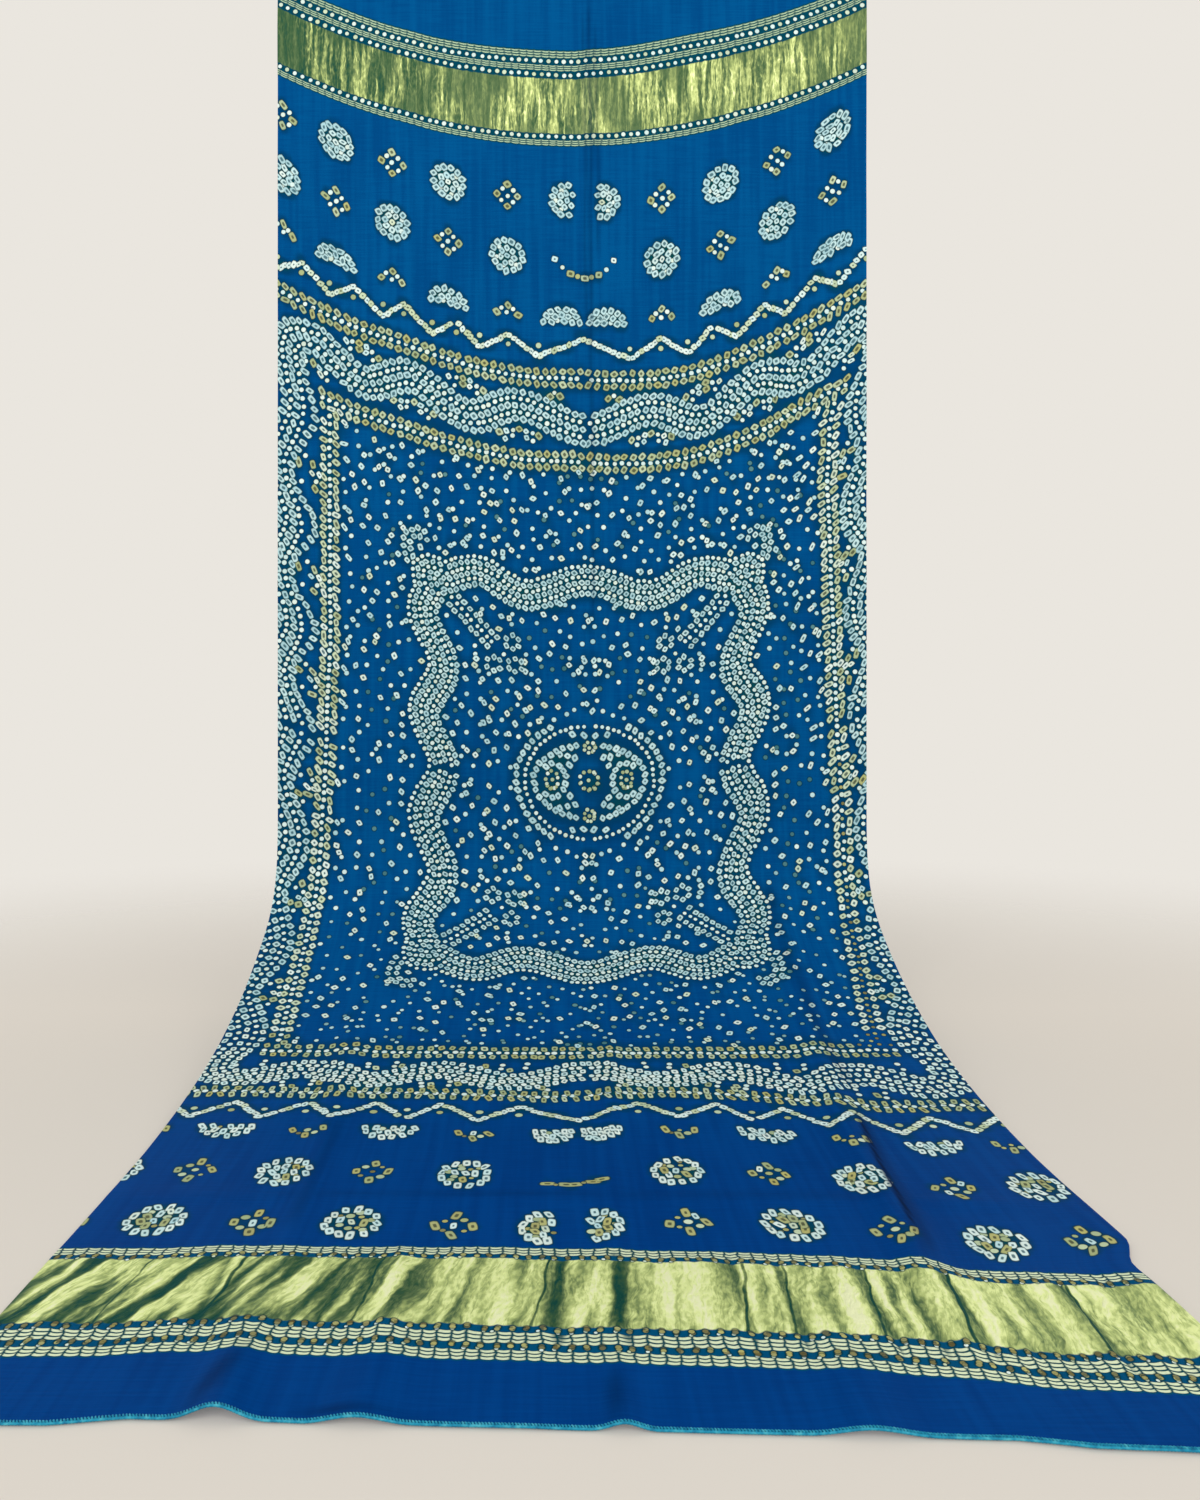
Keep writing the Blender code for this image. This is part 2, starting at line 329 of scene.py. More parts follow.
# two wavy squares: their top and side lines, and the corner that bends between them
waveSquare = {
    "y": 0.5526, "yDepth": 0.0160, "yTurns": (0.0, 0.1010, 0.1806, 0.2617, 0.3398, 0.4160, 0.50),
    "x": 0.4462, "xDepth": 0.0125, "xLength": 0.1531,
    "topEnd": 0.410, "sideEnd": 0.490, "corner": (0.470, 0.566), "steps": 140, "bend": (0.04, 0.96, 24),
}
bandSquare = {
    "y": 0.2945, "yDepth": -0.0130, "yTurns": (0.0, 0.0950, 0.1680, 0.2400),
    "x": 0.2388, "xDepth": 0.0155, "xLength": 0.1515,
    "topEnd": 0.215, "sideEnd": 0.262, "corner": (0.262, 0.306), "steps": 90, "bend": (0.06, 0.94, 12),
}
bias = 0.9                       # rings lean along the bias, where the folded cloth is pinched
dice = np.random.default_rng(7)


def alongPath(points, kinds, pitches, gap, start=0.0):
    # rows of dots side by side along a path, each evenly spaced on its own line
    points = np.array(points, dtype=float)
    way = np.gradient(points, axis=0)
    way /= np.hypot(*way.T)[:, None]
    dots = []
    for row, kind in enumerate(kinds):
        aside = (row - (len(kinds) - 1) / 2) * gap
        line = points + aside * np.stack((-way[:, 1], way[:, 0]), axis=1)
        steps = np.diff(line, axis=0)
        steps = np.hypot(*steps.T) * ((steps * way[:-1]).sum(axis=1) > 0)
        length = np.concatenate(([0.0], np.cumsum(steps)))
        pitch = pitches[row % len(pitches)]
        for place in np.arange((start + 0.5 * (row % 2)) * pitch, length[-1], pitch):
            x, y = (np.interp(place, length, line[:, axis]) for axis in (0, 1))
            dx, dy = (np.interp(place, length, way[:, axis]) for axis in (0, 1))
            dots.append((x, y, kind, math.atan2(dy, dx) if kind == "dash" else bias))
    return dots


def dotsRound(x, y, radius, turns, kind, squash=1.0):
    return [(x + radius * math.cos(t), y + squash * radius * math.sin(t), kind, bias) for t in turns]


def ringOfDots(x, y, radius, count, kind, turn=0.0, squash=1.0):
    return dotsRound(x, y, radius, 2 * math.pi * np.arange(count) / count + turn, kind, squash)


def bigFlower(x, y):
    dots = [(x, y, "smallRing", bias)]
    for radius, count, kind in ((0.0112, 7, "coreRing"), (0.0228, 13, "ring"), (0.0172, 6, "bead")):
        dots += ringOfDots(x, y, radius, count, kind, dice.uniform(0, 1))
    return dots


def halfFlower(x, y):
    dots = []
    for radius, count, start in ((0.0265, 8, 0.05), (0.0150, 5, 0.10)):
        dots += dotsRound(x, y - 0.006, radius, np.linspace(start, math.pi - start, count), "ring", 0.80)
    return dots + [(x - 0.004, y - 0.004, "ring", bias), (x + 0.007, y - 0.003, "bead", bias)]


def smallFlower(x, y):
    dots = [(x, y, "bead", bias)] + ringOfDots(x, y, 0.0165, 4, "goldRing")
    return dots + ringOfDots(x, y, 0.0125, 4, "bead", math.pi / 4)


def halfSmallFlower(x, y):
    dots = [(x, y + 0.0135, "goldRing", bias), (x, y + 0.002, "bead", bias)]
    for side in (-1, 1):
        dots += [(x + side * 0.0158, y + 0.001, "goldRing", bias), (x + side * 0.0088, y + 0.0085, "bead", 0)]
    return dots


def squiggle(x, y, turn, count=6):
    # two short bent rows of yellowish dots that fill a recess of a wave
    dots = []
    for row, number in enumerate((count, count - 2)):
        for index in range(number):
            share = index / (number - 1) - 0.5
            dx, dy = 0.0086 * number * share, 0.009 * (1 - 2 * abs(share)) - 0.0080 * row
            kind = ("goldRing", "bead", "smallRing")[(index + row) % 3]
            dots.append((x + dx * math.cos(turn) - dy * math.sin(turn),
                         y + dx * math.sin(turn) + dy * math.cos(turn), kind, bias))
    return dots


def squarePath(square):
    # a wavy line along the top of the quarter, round the corner and down the side
    s = square
    wave = -np.cos(np.pi * np.interp(np.linspace(0, s["topEnd"], s["steps"]), s["yTurns"],
                                     np.arange(len(s["yTurns"]))))
    top = list(zip(np.linspace(0, s["topEnd"], s["steps"]), s["y"] + s["yDepth"] * wave))
    side = [(s["x"] - s["xDepth"] * math.cos(2 * math.pi * y / s["xLength"]), y)
            for y in np.linspace(s["sideEnd"], 0, s["steps"])]
    start, end, corner = np.array(top[-1]), np.array(side[0]), np.array(s["corner"])
    bend = [tuple((1 - t) ** 2 * start + 2 * t * (1 - t) * corner + t * t * end)
            for t in np.linspace(*s["bend"])]
    return top + bend + side


def zigzagPath():
    p = pattern
    ends = [(x, (p["zigzagPeak"], p["zigzagDip"])[index % 2]) for index, x in enumerate(p["zigzagTurns"])]
    fine = []
    for (ax, ay), (bx, by) in zip(ends, ends[1:]):
        fine += [(ax + (bx - ax) * t, ay + (by - ay) * t) for t in np.linspace(0, 1, 9)[:-1]]
    return fine


def medallion():
    dots = []
    for wide, high, last, kind, pitch in (
            (0.0985, 0.0826, math.pi / 2, "bead", 0.0092), (0.1120, 0.0940, 1.05, "patch", 0.0118),
            (0.0850, 0.0545, 1.38, "patch", 0.0106)):
        oval = [(wide * math.cos(t), high * math.sin(t)) for t in np.linspace(0, last, 60)]
        dots += alongPath(oval, [kind], (pitch,), 0.01, 0.5)
    dots += ringOfDots(0, 0, 0.0138, 10, "creamBead", 0.3) + [(0, 0, "creamBead", 0)]
    dots += [(0, 0.0500, "creamBead", 0)] + ringOfDots(0, 0.0500, 0.0082, 7, "creamBead", 0.45)
    dots += [(0.0570, 0.0, "creamBead", 0)] + ringOfDots(0.0570, 0, 0.0095, 9, "creamBead", 0.1, 1.3)
    return dots + [(x, y, "patch", bias) for x, y in (
        (0.0085, 0.0690), (0.0260, 0.0700), (0.0360, 0.0050), (0.0400, 0.0145), (0.0470, 0.0225),
        (0.0570, 0.0245), (0.0670, 0.0200), (0.0300, 0.0230), (0.0215, 0.0345), (0.0330, 0.0365),
        (0.0450, 0.0390))]


def innerSquare():
    p = pattern
    rows = ["ring", "bead", "ring", "bead", "ring", "innerBead"]
    dots = alongPath(squarePath(bandSquare), rows, (p["bandRingPitch"], p["bandBeadPitch"]), p["bandGap"])
    ear = [(0.262, 0.276), (0.272, 0.303), (0.277, 0.322), (0.273, 0.337), (0.260, 0.345), (0.241, 0.341)]
    dots += alongPath(ear, ["ring", "ring"], (0.0108,), 0.0104, 0.3)
    arm = [(0.2140, 0.2640), (0.2000, 0.2500), (0.1440, 0.1990)]
    dots += alongPath(arm, ["ring", "bead", "ring"], (0.0110, 0.0104), 0.0106, 0.2)
    for x, y in ((0.1165, 0.2060), (0.1130, 0.1715), (0.1460, 0.1695)):
        dots += ringOfDots(x, y, 0.0104, 6, "ring", 0.5)
    beads = ((0.132, 0.187), (0.124, 0.195), (0.127, 0.178), (0.140, 0.181))
    return dots + [(x, y, "bead", 0) for x, y in beads]


def endPattern():
    # the rows of flowers between the zigzag and the woven band
    p = pattern
    half, middle, last = p["flowerRows"]
    dots = alongPath(zigzagPath(), ["dash"], (p["zigzagPitch"],), 0.01, 0.1)
    for index, x in enumerate(p["zigzagTurns"][:-1]):
        if index:
            y = p["zigzagDip"] + 0.0170 if index % 2 else p["zigzagPeak"] - 0.0160
            dots.append((x, y, "goldBead", 0))
    for column, x in enumerate(p["flowerColumns"]):
        dots += (halfFlower(x, half), halfSmallFlower(x, half))[column % 2]
        if column:
            dots += (smallFlower(x, middle), bigFlower(x, middle))[column % 2]
            dots += (bigFlower(x, last), smallFlower(x, last))[column % 2]
    dots += [dot for dot in bigFlower(0.0270, last) if dot[0] > 0.0190]
    return dots


def lines():
    p = pattern
    kinds, gap = ["goldRing", "bead", "goldRing"], p["lineGap"]
    pitches = (p["ringPitch"], p["beadPitch"])
    path = [(x, p["frameY"]) for x in np.linspace(0, p["frameX"] + 1.7 * gap, 30)]
    dots = alongPath(path, kinds, pitches, gap, 0.5)
    path = [(p["frameX"], y) for y in np.linspace(p["frameY"] - 1.3 * gap, 0, 30)]
    dots += alongPath(path, kinds, [0.94 * pitch for pitch in pitches], gap, 0.3)
    path = [(x, p["outerLine"]) for x in np.linspace(0, 0.50, 30)]
    return dots + alongPath(path, kinds, pitches, gap, 0.5)


def waves():
    p, turns = pattern, waveSquare["yTurns"]
    rows = ["ring", "bead", "ring", "bead", "ring"]
    pitches = (p["waveRingPitch"], p["waveBeadPitch"])
    dots = alongPath(squarePath(waveSquare), rows, pitches, p["waveGap"], 0.3)
    recesses = [(turns[index], 0.5235, 0.0, 7) for index in (1, 3, 5)]
    recesses += [(turns[index], 0.5840, 0.15, 6) for index in (2, 4)]
    recesses += [(0.4170, (index + 0.5) * waveSquare["xLength"], math.pi / 2 - 0.15, 5) for index in range(3)]
    for recess in recesses:
        dots += squiggle(*recess)
    return dots + [(0.0370, 0.5860, "goldRing", bias), (0.0450, 0.5905, "bead", 0),
                   (0.0530, 0.5855, "goldRing", bias), (0.0455, 0.5790, "goldBead", 0)]


def scatter(taken, tries=26000, most=4000):
    # single dots over the field, with a ring beside some of them
    p = pattern
    near = np.array([(dot[0], dot[1]) for dot in taken])
    free, dots = np.full((most, 2), 9.0), []
    count = 0
    for _ in range(tries):
        x, y = (dice.uniform(0.004, p[side] - 0.021) for side in ("frameX", "frameY"))
        if (x / p["fieldOval"][0]) ** 2 + (y / p["fieldOval"][1]) ** 2 < 1:
            continue
        if np.min(np.hypot(free[:count + 1, 0] - x, free[:count + 1, 1] - y)) < p["fieldGap"]:
            continue
        if np.min(np.hypot(near[:, 0] - x, near[:, 1] - y)) < p["fieldClear"]:
            continue
        free[count] = (x, y)
        count += 1
        kind = dice.choice(["fieldBead", "smallRing", "faint"], p=[0.57, 0.30, 0.13])
        dots.append((x, y, kind, bias))
        if dice.uniform() < p["fieldPairs"]:
            turn = dice.choice([0.8, -0.8, 2.3, -2.3]) + dice.uniform(-0.3, 0.3)
            dots.append((x + 0.0080 * math.cos(turn), y + 0.0080 * math.sin(turn), "smallRing", bias))
    return dots


def spaced(dots, share):
    # leaves out a dot that would sit on one placed before it
    kept, places, sizes = [], np.full((len(dots), 2), 9.0), np.zeros(len(dots))
    for dot in dots:
        size = dotKinds[dot[2]]["size"]
        gaps = np.hypot(places[:, 0] - dot[0], places[:, 1] - dot[1])
        if np.any(gaps < share * (sizes + size)):
            continue
        places[len(kept)], sizes[len(kept)] = (dot[0], dot[1]), size
        kept.append(dot)
    return kept


# how the pattern lies on the cloth: the ties leave it creeping aside and sagging between the selvedges
laySide = ((-0.90, -0.60, -0.45, -0.10, 0.10, 0.30, 0.55, 0.67, 0.705, 0.7945, 0.886, 1.20),
           (0.019, 0.0185, 0.022, 0.0270, 0.0255, 0.0175, 0.005, -0.006, -0.009, -0.0185, -0.0205, -0.024))
layDown = ((-1.30, -0.30, 0.0, 0.306, 0.485, 0.550, 0.6138, 0.646, 0.675, 0.705, 0.7945, 0.886, 1.00),
           (-1.30, -0.30, 0.0, 0.334, 0.5175, 0.570, 0.612, 0.6365, 0.6725, 0.7015, 0.799, 0.9065, 1.02))
laySag = ((-1.10, -0.905, -0.617, -0.485, -0.38, 0.0, 0.25, 0.485, 0.62),
          (0.110, 0.136, 0.138, 0.133, 0.110, 0.101, 0.090, 0.011, 0.000))
layDip = ((-0.45, -0.344, -0.257, -0.17, -0.08, 0.0, 0.063, 0.121, 0.179, 0.237, 0.296, 0.354, 0.41),
          (0.0, 0.003, 0.0077, 0.004, 0.0, 0.0, -0.006, -0.012, -0.0153, -0.012, -0.0077, -0.003, 0.0))
layDipShare = ((-0.97, -0.90, -0.617, -0.485, -0.30, 0.0, 0.30), (0.0, 0.8, 1.0, 1.0, 0.6, 0.3, 0.0))
topCreepShare = ((0.0, 0.10, 0.25), (0.0, 0.55, 0.0))
layDrift = ((-0.45, -0.39, -0.30, -0.21, -0.12, -0.05, 0.0, 0.09, 0.18, 0.26, 0.34, 0.43),
            (-0.001, -0.001, 0.003, 0.003, 0.008, 0.014, 0.010, 0.0, 0.008, 0.025, 0.042, 0.036))
layDriftShare = ((0.485, 0.60, 0.65), (0.0, 0.9, 1.0))
laySqueeze = ((0.0, 0.25, 0.45, 0.60, 0.66, 0.705, 0.79, 0.90),
              (0.0, 0.004, 0.0133, 0.008, 0.006, 0.008, 0.015, 0.015))
medallionAlong = -0.0535
# the frame and the side waves stand a little aside: along, and how far to the right
layAside = {
    "left": ((-0.62, -0.574, -0.39, -0.268, -0.207, -0.115, -0.023, 0.038, 0.167, 0.338, 0.43, 0.53),
             (0.0, -0.001, -0.003, -0.004, -0.0075, -0.0095, -0.0152, -0.018, -0.020, -0.0155, -0.009, -0.003)),
    "leftWaves": ((-0.68, -0.60, -0.50, 0.10, 0.338, 0.43, 0.53),
                  (-0.002, -0.011, -0.0165, -0.020, -0.018, -0.010, -0.003)),
    "right": ((-0.68, -0.60, -0.513, -0.421, -0.298, -0.207, -0.145, -0.084, 0.038, 0.120, 0.250, 0.338,
               0.43, 0.53),
              (0.0, -0.020, -0.025, -0.0225, -0.020, -0.017, -0.014, -0.009, 0.0015, 0.0045, 0.0, -0.0056,
               -0.0115, -0.004)),
}
asideFrom = {"frame": (0.26, 0.38), "waves": (0.408, 0.428)}     # how far out each starts to stand aside


def layOnCloth(x, y):
    squeeze = np.interp(y, *laySqueeze) * np.interp(abs(x), (0.0, 0.10), (0.0, 1.0))
    across = x - math.copysign(squeeze, x) + np.interp(y, *laySide)
    sag = np.interp(y, *laySag) * (across / halfCloth) ** 2
    sag = sag + np.interp(across, *layDip) * np.interp(y, *layDipShare)
    drift = np.interp(across, *layDrift) * np.interp(y, *layDriftShare)
    along = medallionAlong + np.interp(y, *layDown) - sag + drift
    side = "right" if x > 0 else "left"
    aside = np.interp(along, *layAside[side]) * smoothStep(*asideFrom["frame"], abs(x))
    if x < 0:
        share = smoothStep(*asideFrom["waves"], -x)
        aside = aside * (1 - share) + np.interp(along, *layAside["leftWaves"]) * share
    return across + aside, along


def topCreep(across, fromTop):
    # the woven lines near the top stand a little higher on the right
    return -np.interp(across, *layDip) * np.interp(fromTop, *topCreepShare)


def frontPlace(across, place):
    # from a place in the front band to its distance from the hem, which changes a little from left to right
    strip, stretch = np.interp(across, *frontBand["stripAt"]), np.interp(across, *frontBand["stretchAt"])
    return strip + (place - frontBand["fromHem"]) * stretch / frontBand["stretch"]


# the row of ties beside the metal lines: where it starts and ends, how loose it is, and its knots, most front
# knots with a painted highlight
bandTies = {
    "start": -0.446, "end": 0.448, "loose": 0.0006, "fineLoose": 0.0004,
    "secondKnot": -0.0020, "lightKnot": (-0.001, 0.0012, 0.0026), "lightShare": 0.75,
}


def bandDots(band, edge, down):
    laid = []
    ties, loose = bandTies, bandTies["loose"]
    for part in ("outerDots", "innerDots", "lastDots"):
        place = band["fromHem"] + band["parts"][part] * band["stretch"]
        for across in np.arange(ties["start"], ties["end"], band["dotPitch"]):
            x = across + dice.normal(0, loose)
            if band is topBand:
                y = edge(x) + down * (place + dice.normal(0, ties["fineLoose"]))
                laid.append((x, y - topCreep(x, place), "bandBead", 0.0))
                continue
            y = edge(x) + down * (frontPlace(x, place) + dice.normal(0, loose))
            laid.append((x, y, "knot", 0.0))
            laid.append((x + dice.normal(0, ties["fineLoose"]), y + ties["secondKnot"], "knot", 0.0))
            # a lighter dot below most front knots is a painted highlight
            if dice.uniform() < ties["lightShare"]:
                aside, spread, below = ties["lightKnot"]
                laid.append((x + dice.normal(aside, spread), y + below, "knotHighlight", 0.0))
    return laid


# where the dots of the quarter change on the whole cloth: distances from the medallion, and chances
changes = {
    "onFold": 0.004,                                     # a dot on a fold of the cloth is there once
    "standFrom": 0.45, "standLean": 1.45,                # on the floor the rings stand up, so they look long
    "flatUntil": 0.66, "goldLost": 0.5,
    "sideFrom": 0.36, "sideUntil": 0.485, "sideFade": 0.30,
    "fieldLost": 0.05, "lowFrom": (0.15, 0.40), "lowShare": 0.4,
    "endFrom": 0.68, "endUntil": 0.74, "middlePair": 0.066, "pairSqueeze": 0.80,
    # painted shade: field dots beside the right line, where the cloth lies in shade, are made faint
    "shade": (0.26, 0.37, -0.5, 0.3), "shadeShare": 0.35,    # faint dots beside the right line
}
topSmile = ((0.0, "goldRing"), (0.0107, "goldBead"), (0.0222, "goldRing"), (0.0337, "bead"),
            (0.0459, "smallRing"))


def kindOnCloth(part, x, y, kind, sideways, onFloor, stands):
    # what a dot of the quarter is in one of its four places, or nothing where it is left out
    c = changes
    if part == "inner":
        kind = {"ring": "innerRing", "bead": "innerBead"}.get(kind, kind)
    if stands:
        if part == "waves" and (kind == "smallRing" or kind == "goldRing" and dice.uniform() < c["goldLost"]):
            return None
        flat = {"ring": "flatRing", "goldRing": "flatGold"} if y < c["flatUntil"] else {"ring": "floorRing"}
        kind = flat.get(kind, kind)
    if part == "lines" and x > c["sideFrom"] and y < c["sideUntil"]:
        kind = "sideRing" if kind == "goldRing" else kind
        if onFloor and dice.uniform(0.0, c["sideFade"]) < y:
            kind = "creamRing" if kind == "sideRing" else "brownDot" if sideways > 0 else kind
    if part == "field":
        if dice.uniform() < c["fieldLost"]:
            return None
        if onFloor and dice.uniform(*c["lowFrom"]) < y:
            kind = "lowBead" if kind == "fieldBead" or dice.uniform() < c["lowShare"] else kind
    return kind


def endKind(kind):
    # past the front zigzag the dots are mixed with gold
    if kind in ("bead", "goldBead"):
        return dice.choice(["goldBead", "smallRing", "brownDot"], p=[0.4, 0.2, 0.4])
    if kind == "coreRing":
        return dice.choice(["floorRing", "sunRing", "goldBead", "brownDot"], p=[0.35, 0.25, 0.20, 0.20])
    return "sunRing" if kind == "goldRing" else kind


def smiles():
    # the single curved rows between the two middle flowers of both ends
    dots = []
    for side in (-1, 1):
        for x, kind in topSmile[0 if side < 0 else 1:]:
            dots.append((side * x, -0.7684 - 0.0276 * (x / topSmile[-1][0]) ** 2.2, kind, 0.0))
    for index in range(7):
        x = -0.026 + 0.0102 * index
        dots.append((x, 0.8120 - 4.0 * x * x, ("sunRing", "brownDot", "sunRing")[index % 3], 0.0))
    return dots


def wholePattern():
    c = changes
    parts = {
        "lines": spaced(lines(), 0.66), "waves": spaced(waves(), 0.74),
        "inner": spaced(medallion() + innerSquare(), 0.74), "ends": spaced(endPattern(), 0.66),
    }
    parts["field"] = spaced(scatter(parts["lines"] + parts["inner"]), 0.9)
    spots = []
    for part, dots in parts.items():
        for sideways, endways in ((-1, -1), (1, -1), (-1, 1), (1, 1)):
            onFloor = endways > 0
            for x, y, kind, turn in dots:
                if y < c["onFold"] and onFloor or x < c["onFold"] and sideways > 0:
                    continue
                stands = onFloor and y > c["standFrom"] and turn == bias
                lean = turn * sideways * endways if kind == "dash" else -turn * sideways
                lean = c["standLean"] if stands else lean
                kind = kindOnCloth(part, x, y, kind, sideways, onFloor, stands)
                if not kind:
                    continue
                if onFloor and part == "ends" and x < c["middlePair"] and c["endFrom"] < y < c["endUntil"]:
                    x = c["pairSqueeze"] * x
                spots.append((sideways * x, endways * y, kind, lean))
    laid = []
    left, right, upper, lower = c["shade"]
    for x, y, kind, turn in spots + smiles():
        kind = endKind(kind) if y > c["endFrom"] else kind
        loose = pattern["fieldJitter" if kind in ("fieldBead", "lowBead", "faint") else "jitter"]
        across, along = layOnCloth(x + dice.normal(0, loose), y + dice.normal(0, loose))
        # field dots in the painted shade beside the right line turn faint
        shaded = kind == "fieldBead" and left < across < right and upper < along < lower
        if shaded and dice.uniform() < c["shadeShare"]:
            kind = "faint"
        if abs(across) < halfCloth + 0.004:
            laid.append((across, along, kind, turn))
    return laid + bandDots(topBand, topEdge, 1) + bandDots(frontBand, frontHem, -1)


spotSlots = 5                          # dots that one face can show
spotReach = 0.0095                     # how far a dot and its dark ring reach
nowhere = (9.0, 9.0, 0.0001)           # the dot of an empty slot: far off the cloth
longFrom, longTo = 0.55, 0.02          # rings are drawn long past the first, and at the sides above the other


def columnsNear(x, reach):
    first, last = (int((x + side * reach + halfCloth) / columnWidth) for side in (-1, 1))
    return max(first, 0), min(last, cloth["columns"] - 1)


def spotTables(laid, across, along):
    # for each face of the grid, the dots that reach it: where and how large, and how they look
    columns, rows = across.shape[0] - 1, across.shape[1] - 1
    lists = [[] for _ in range(columns * rows)]
    middles = 0.5 * (along[1:] + along[:-1])
    drawn = np.random.default_rng(11)
    looks = []
    for number, (x, y, kind, turn) in enumerate(laid):
        setting = dotKinds[kind]
        size = setting["size"] * drawn.uniform(0.90, 1.08)
        hole = setting["hole"] * drawn.uniform(0.80, 1.15)
        # a whole turn more tells the shader to draw the ring long
        long = setting["hole"] > 0.28 and (y > longFrom or y < longTo and abs(x) > 0.34)
        turned = drawn.normal(0, 0.22) - turn + 2 * math.pi * long
        looks.append(((x, y, size), (drawn.uniform(*setting["tone"]), hole, turned)))
        first, last = columnsNear(x, spotReach)
        for column in range(first, last + 1):
            low = max(np.searchsorted(middles[column], y - spotReach) - 1, 0)
            high = min(np.searchsorted(middles[column], y + spotReach), rows)
            for row in range(low, high):
                cx = across[column, 0] + columnWidth / 2
                cy = 0.5 * (middles[column, row] + middles[column, row + 1])
                half = 0.5 * (middles[column, row + 1] - middles[column, row])
                gap = math.hypot(max(abs(cx - x) - columnWidth / 2, 0), max(abs(cy - y) - half, 0)) - size
                lists[column * rows + row].append((gap, number))
    spot = np.zeros((spotSlots, columns * rows, 3), dtype=np.float32)
    look = np.zeros_like(spot)
    spot[:, :] = nowhere
    for index, found in enumerate(lists):
        nearest = sorted(found)[:spotSlots]
        for slot, (_, number) in enumerate(reversed(nearest)):
            spot[slot, index], look[slot, index] = looks[number]
    print("dots", len(laid))
    return spot, look


# how far the darker colour spreads round a dot: in rows, in the field, and past the outer lines
tieSpread = {"rows": 0.0062, "field": 0.0090, "ends": 0.0052, "reach": 0.024, "strength": 150,
             "tiedAlong": (-0.66, 0.56)}


def tiedness(laid, across, along):
    # how thickly dots lie round each point of the grid, for the darker, greener colour between them
    density = np.zeros(across.shape)
    reach, (upper, lower) = tieSpread["reach"], tieSpread["tiedAlong"]
    for x, y, kind, _ in laid:
        if "knot" in kind or kind == "brownDot":
            continue
        spread = tieSpread["rows" if "ing" in kind or kind == "bead" else "field"]
        if not upper < y + 0.1 * (x / halfCloth) ** 2 < lower:
            spread = tieSpread["ends"]
        first, last = columnsNear(x, reach)
        low, high = np.searchsorted(along[(first + last + 1) // 2], (y - reach - 0.01, y + reach + 0.01))
        near = (slice(first, last + 2), slice(low, high))
        gap = (across[near] - x) ** 2 + (along[near] - y) ** 2
        strength = dotKinds[kind]["size"] ** 2 * (0.25 / spread) ** 1.5 * tieSpread["strength"]
        density[near] += strength * np.exp(-gap / (2 * spread ** 2))
    return density


def clothGrid():
    across = cloth["width"] * (np.arange(cloth["columns"] + 1) / cloth["columns"] - 0.5)
    top, hem = topEdge(across), frontHem(across)
    zones = {"hanging": (top, 0 * across), "sweep": (0 * across, 0 * across + sweepEnd),
             "floor": (0 * across + sweepEnd, hem)}
    rows = [top]
    for zone, (first, last) in zones.items():
        count = cloth["rows"][zone]
        rows += [first + (last - first) * (index + 1) / count for index in range(count)]
    along = np.stack(rows, axis=1)
    across = np.repeat(across[:, None], along.shape[1], axis=1)
    fromTop = along - top[:, None]
    strip, stretch = np.interp(across, *frontBand["stripAt"]), np.interp(across, *frontBand["stretchAt"])
    fromFront = frontBand["fromHem"] + (hem[:, None] - along - strip) * frontBand["stretch"] / stretch
    return across, along, fromTop + topCreep(across, fromTop), fromFront


def sheetMesh(face, back):
    # a closed thin sheet from the grids of its two sides; gives the mesh and its corners' grid places
    columns, rows = face.shape[:2]
    index = np.arange(columns * rows).reshape(columns, rows)
    quad = np.stack((index[:-1, :-1], index[:-1, 1:], index[1:, 1:], index[1:, :-1]), axis=-1).reshape(-1, 4)
    lower = quad[:, ::-1] + index.size
    border = np.concatenate((index[0, :-1], index[:-1, -1], index[-1, :0:-1], index[:0:-1, 0]))
    after = np.roll(border, -1)
    rim = np.stack((border + index.size, after + index.size, after, border), axis=-1)
    faces = np.concatenate((quad, lower, rim))
    mesh = bpy.data.meshes.new("cloth")
    mesh.vertices.add(2 * index.size)
    mesh.vertices.foreach_set("co", np.concatenate((face.ravel(), back.ravel())))
    mesh.loops.add(faces.size)
    mesh.loops.foreach_set("vertex_index", faces.ravel().astype(np.int32))
    mesh.polygons.add(len(faces))
    mesh.polygons.foreach_set("loop_start", np.arange(0, faces.size, 4, dtype=np.int32))
    mesh.update(calc_edges=True)
    mesh.validate()
    mesh.shade_smooth()
    mesh.set_sharp_from_angle(angle=math.radians(60))
    print("sheet", len(faces) * 2, "triangles")
    return mesh, faces.ravel() % index.size


def addAttribute(mesh, name, form, domain, values):
    attribute = mesh.attributes.new(name, form, domain)
    key = "value" if form == "FLOAT" else "vector"
    attribute.data.foreach_set(key, np.asarray(values, dtype=np.float32).ravel())


def newPiece(name, mesh):
    piece = bpy.data.objects.new(name, mesh)
    bpy.context.scene.collection.objects.link(piece)
    return piece


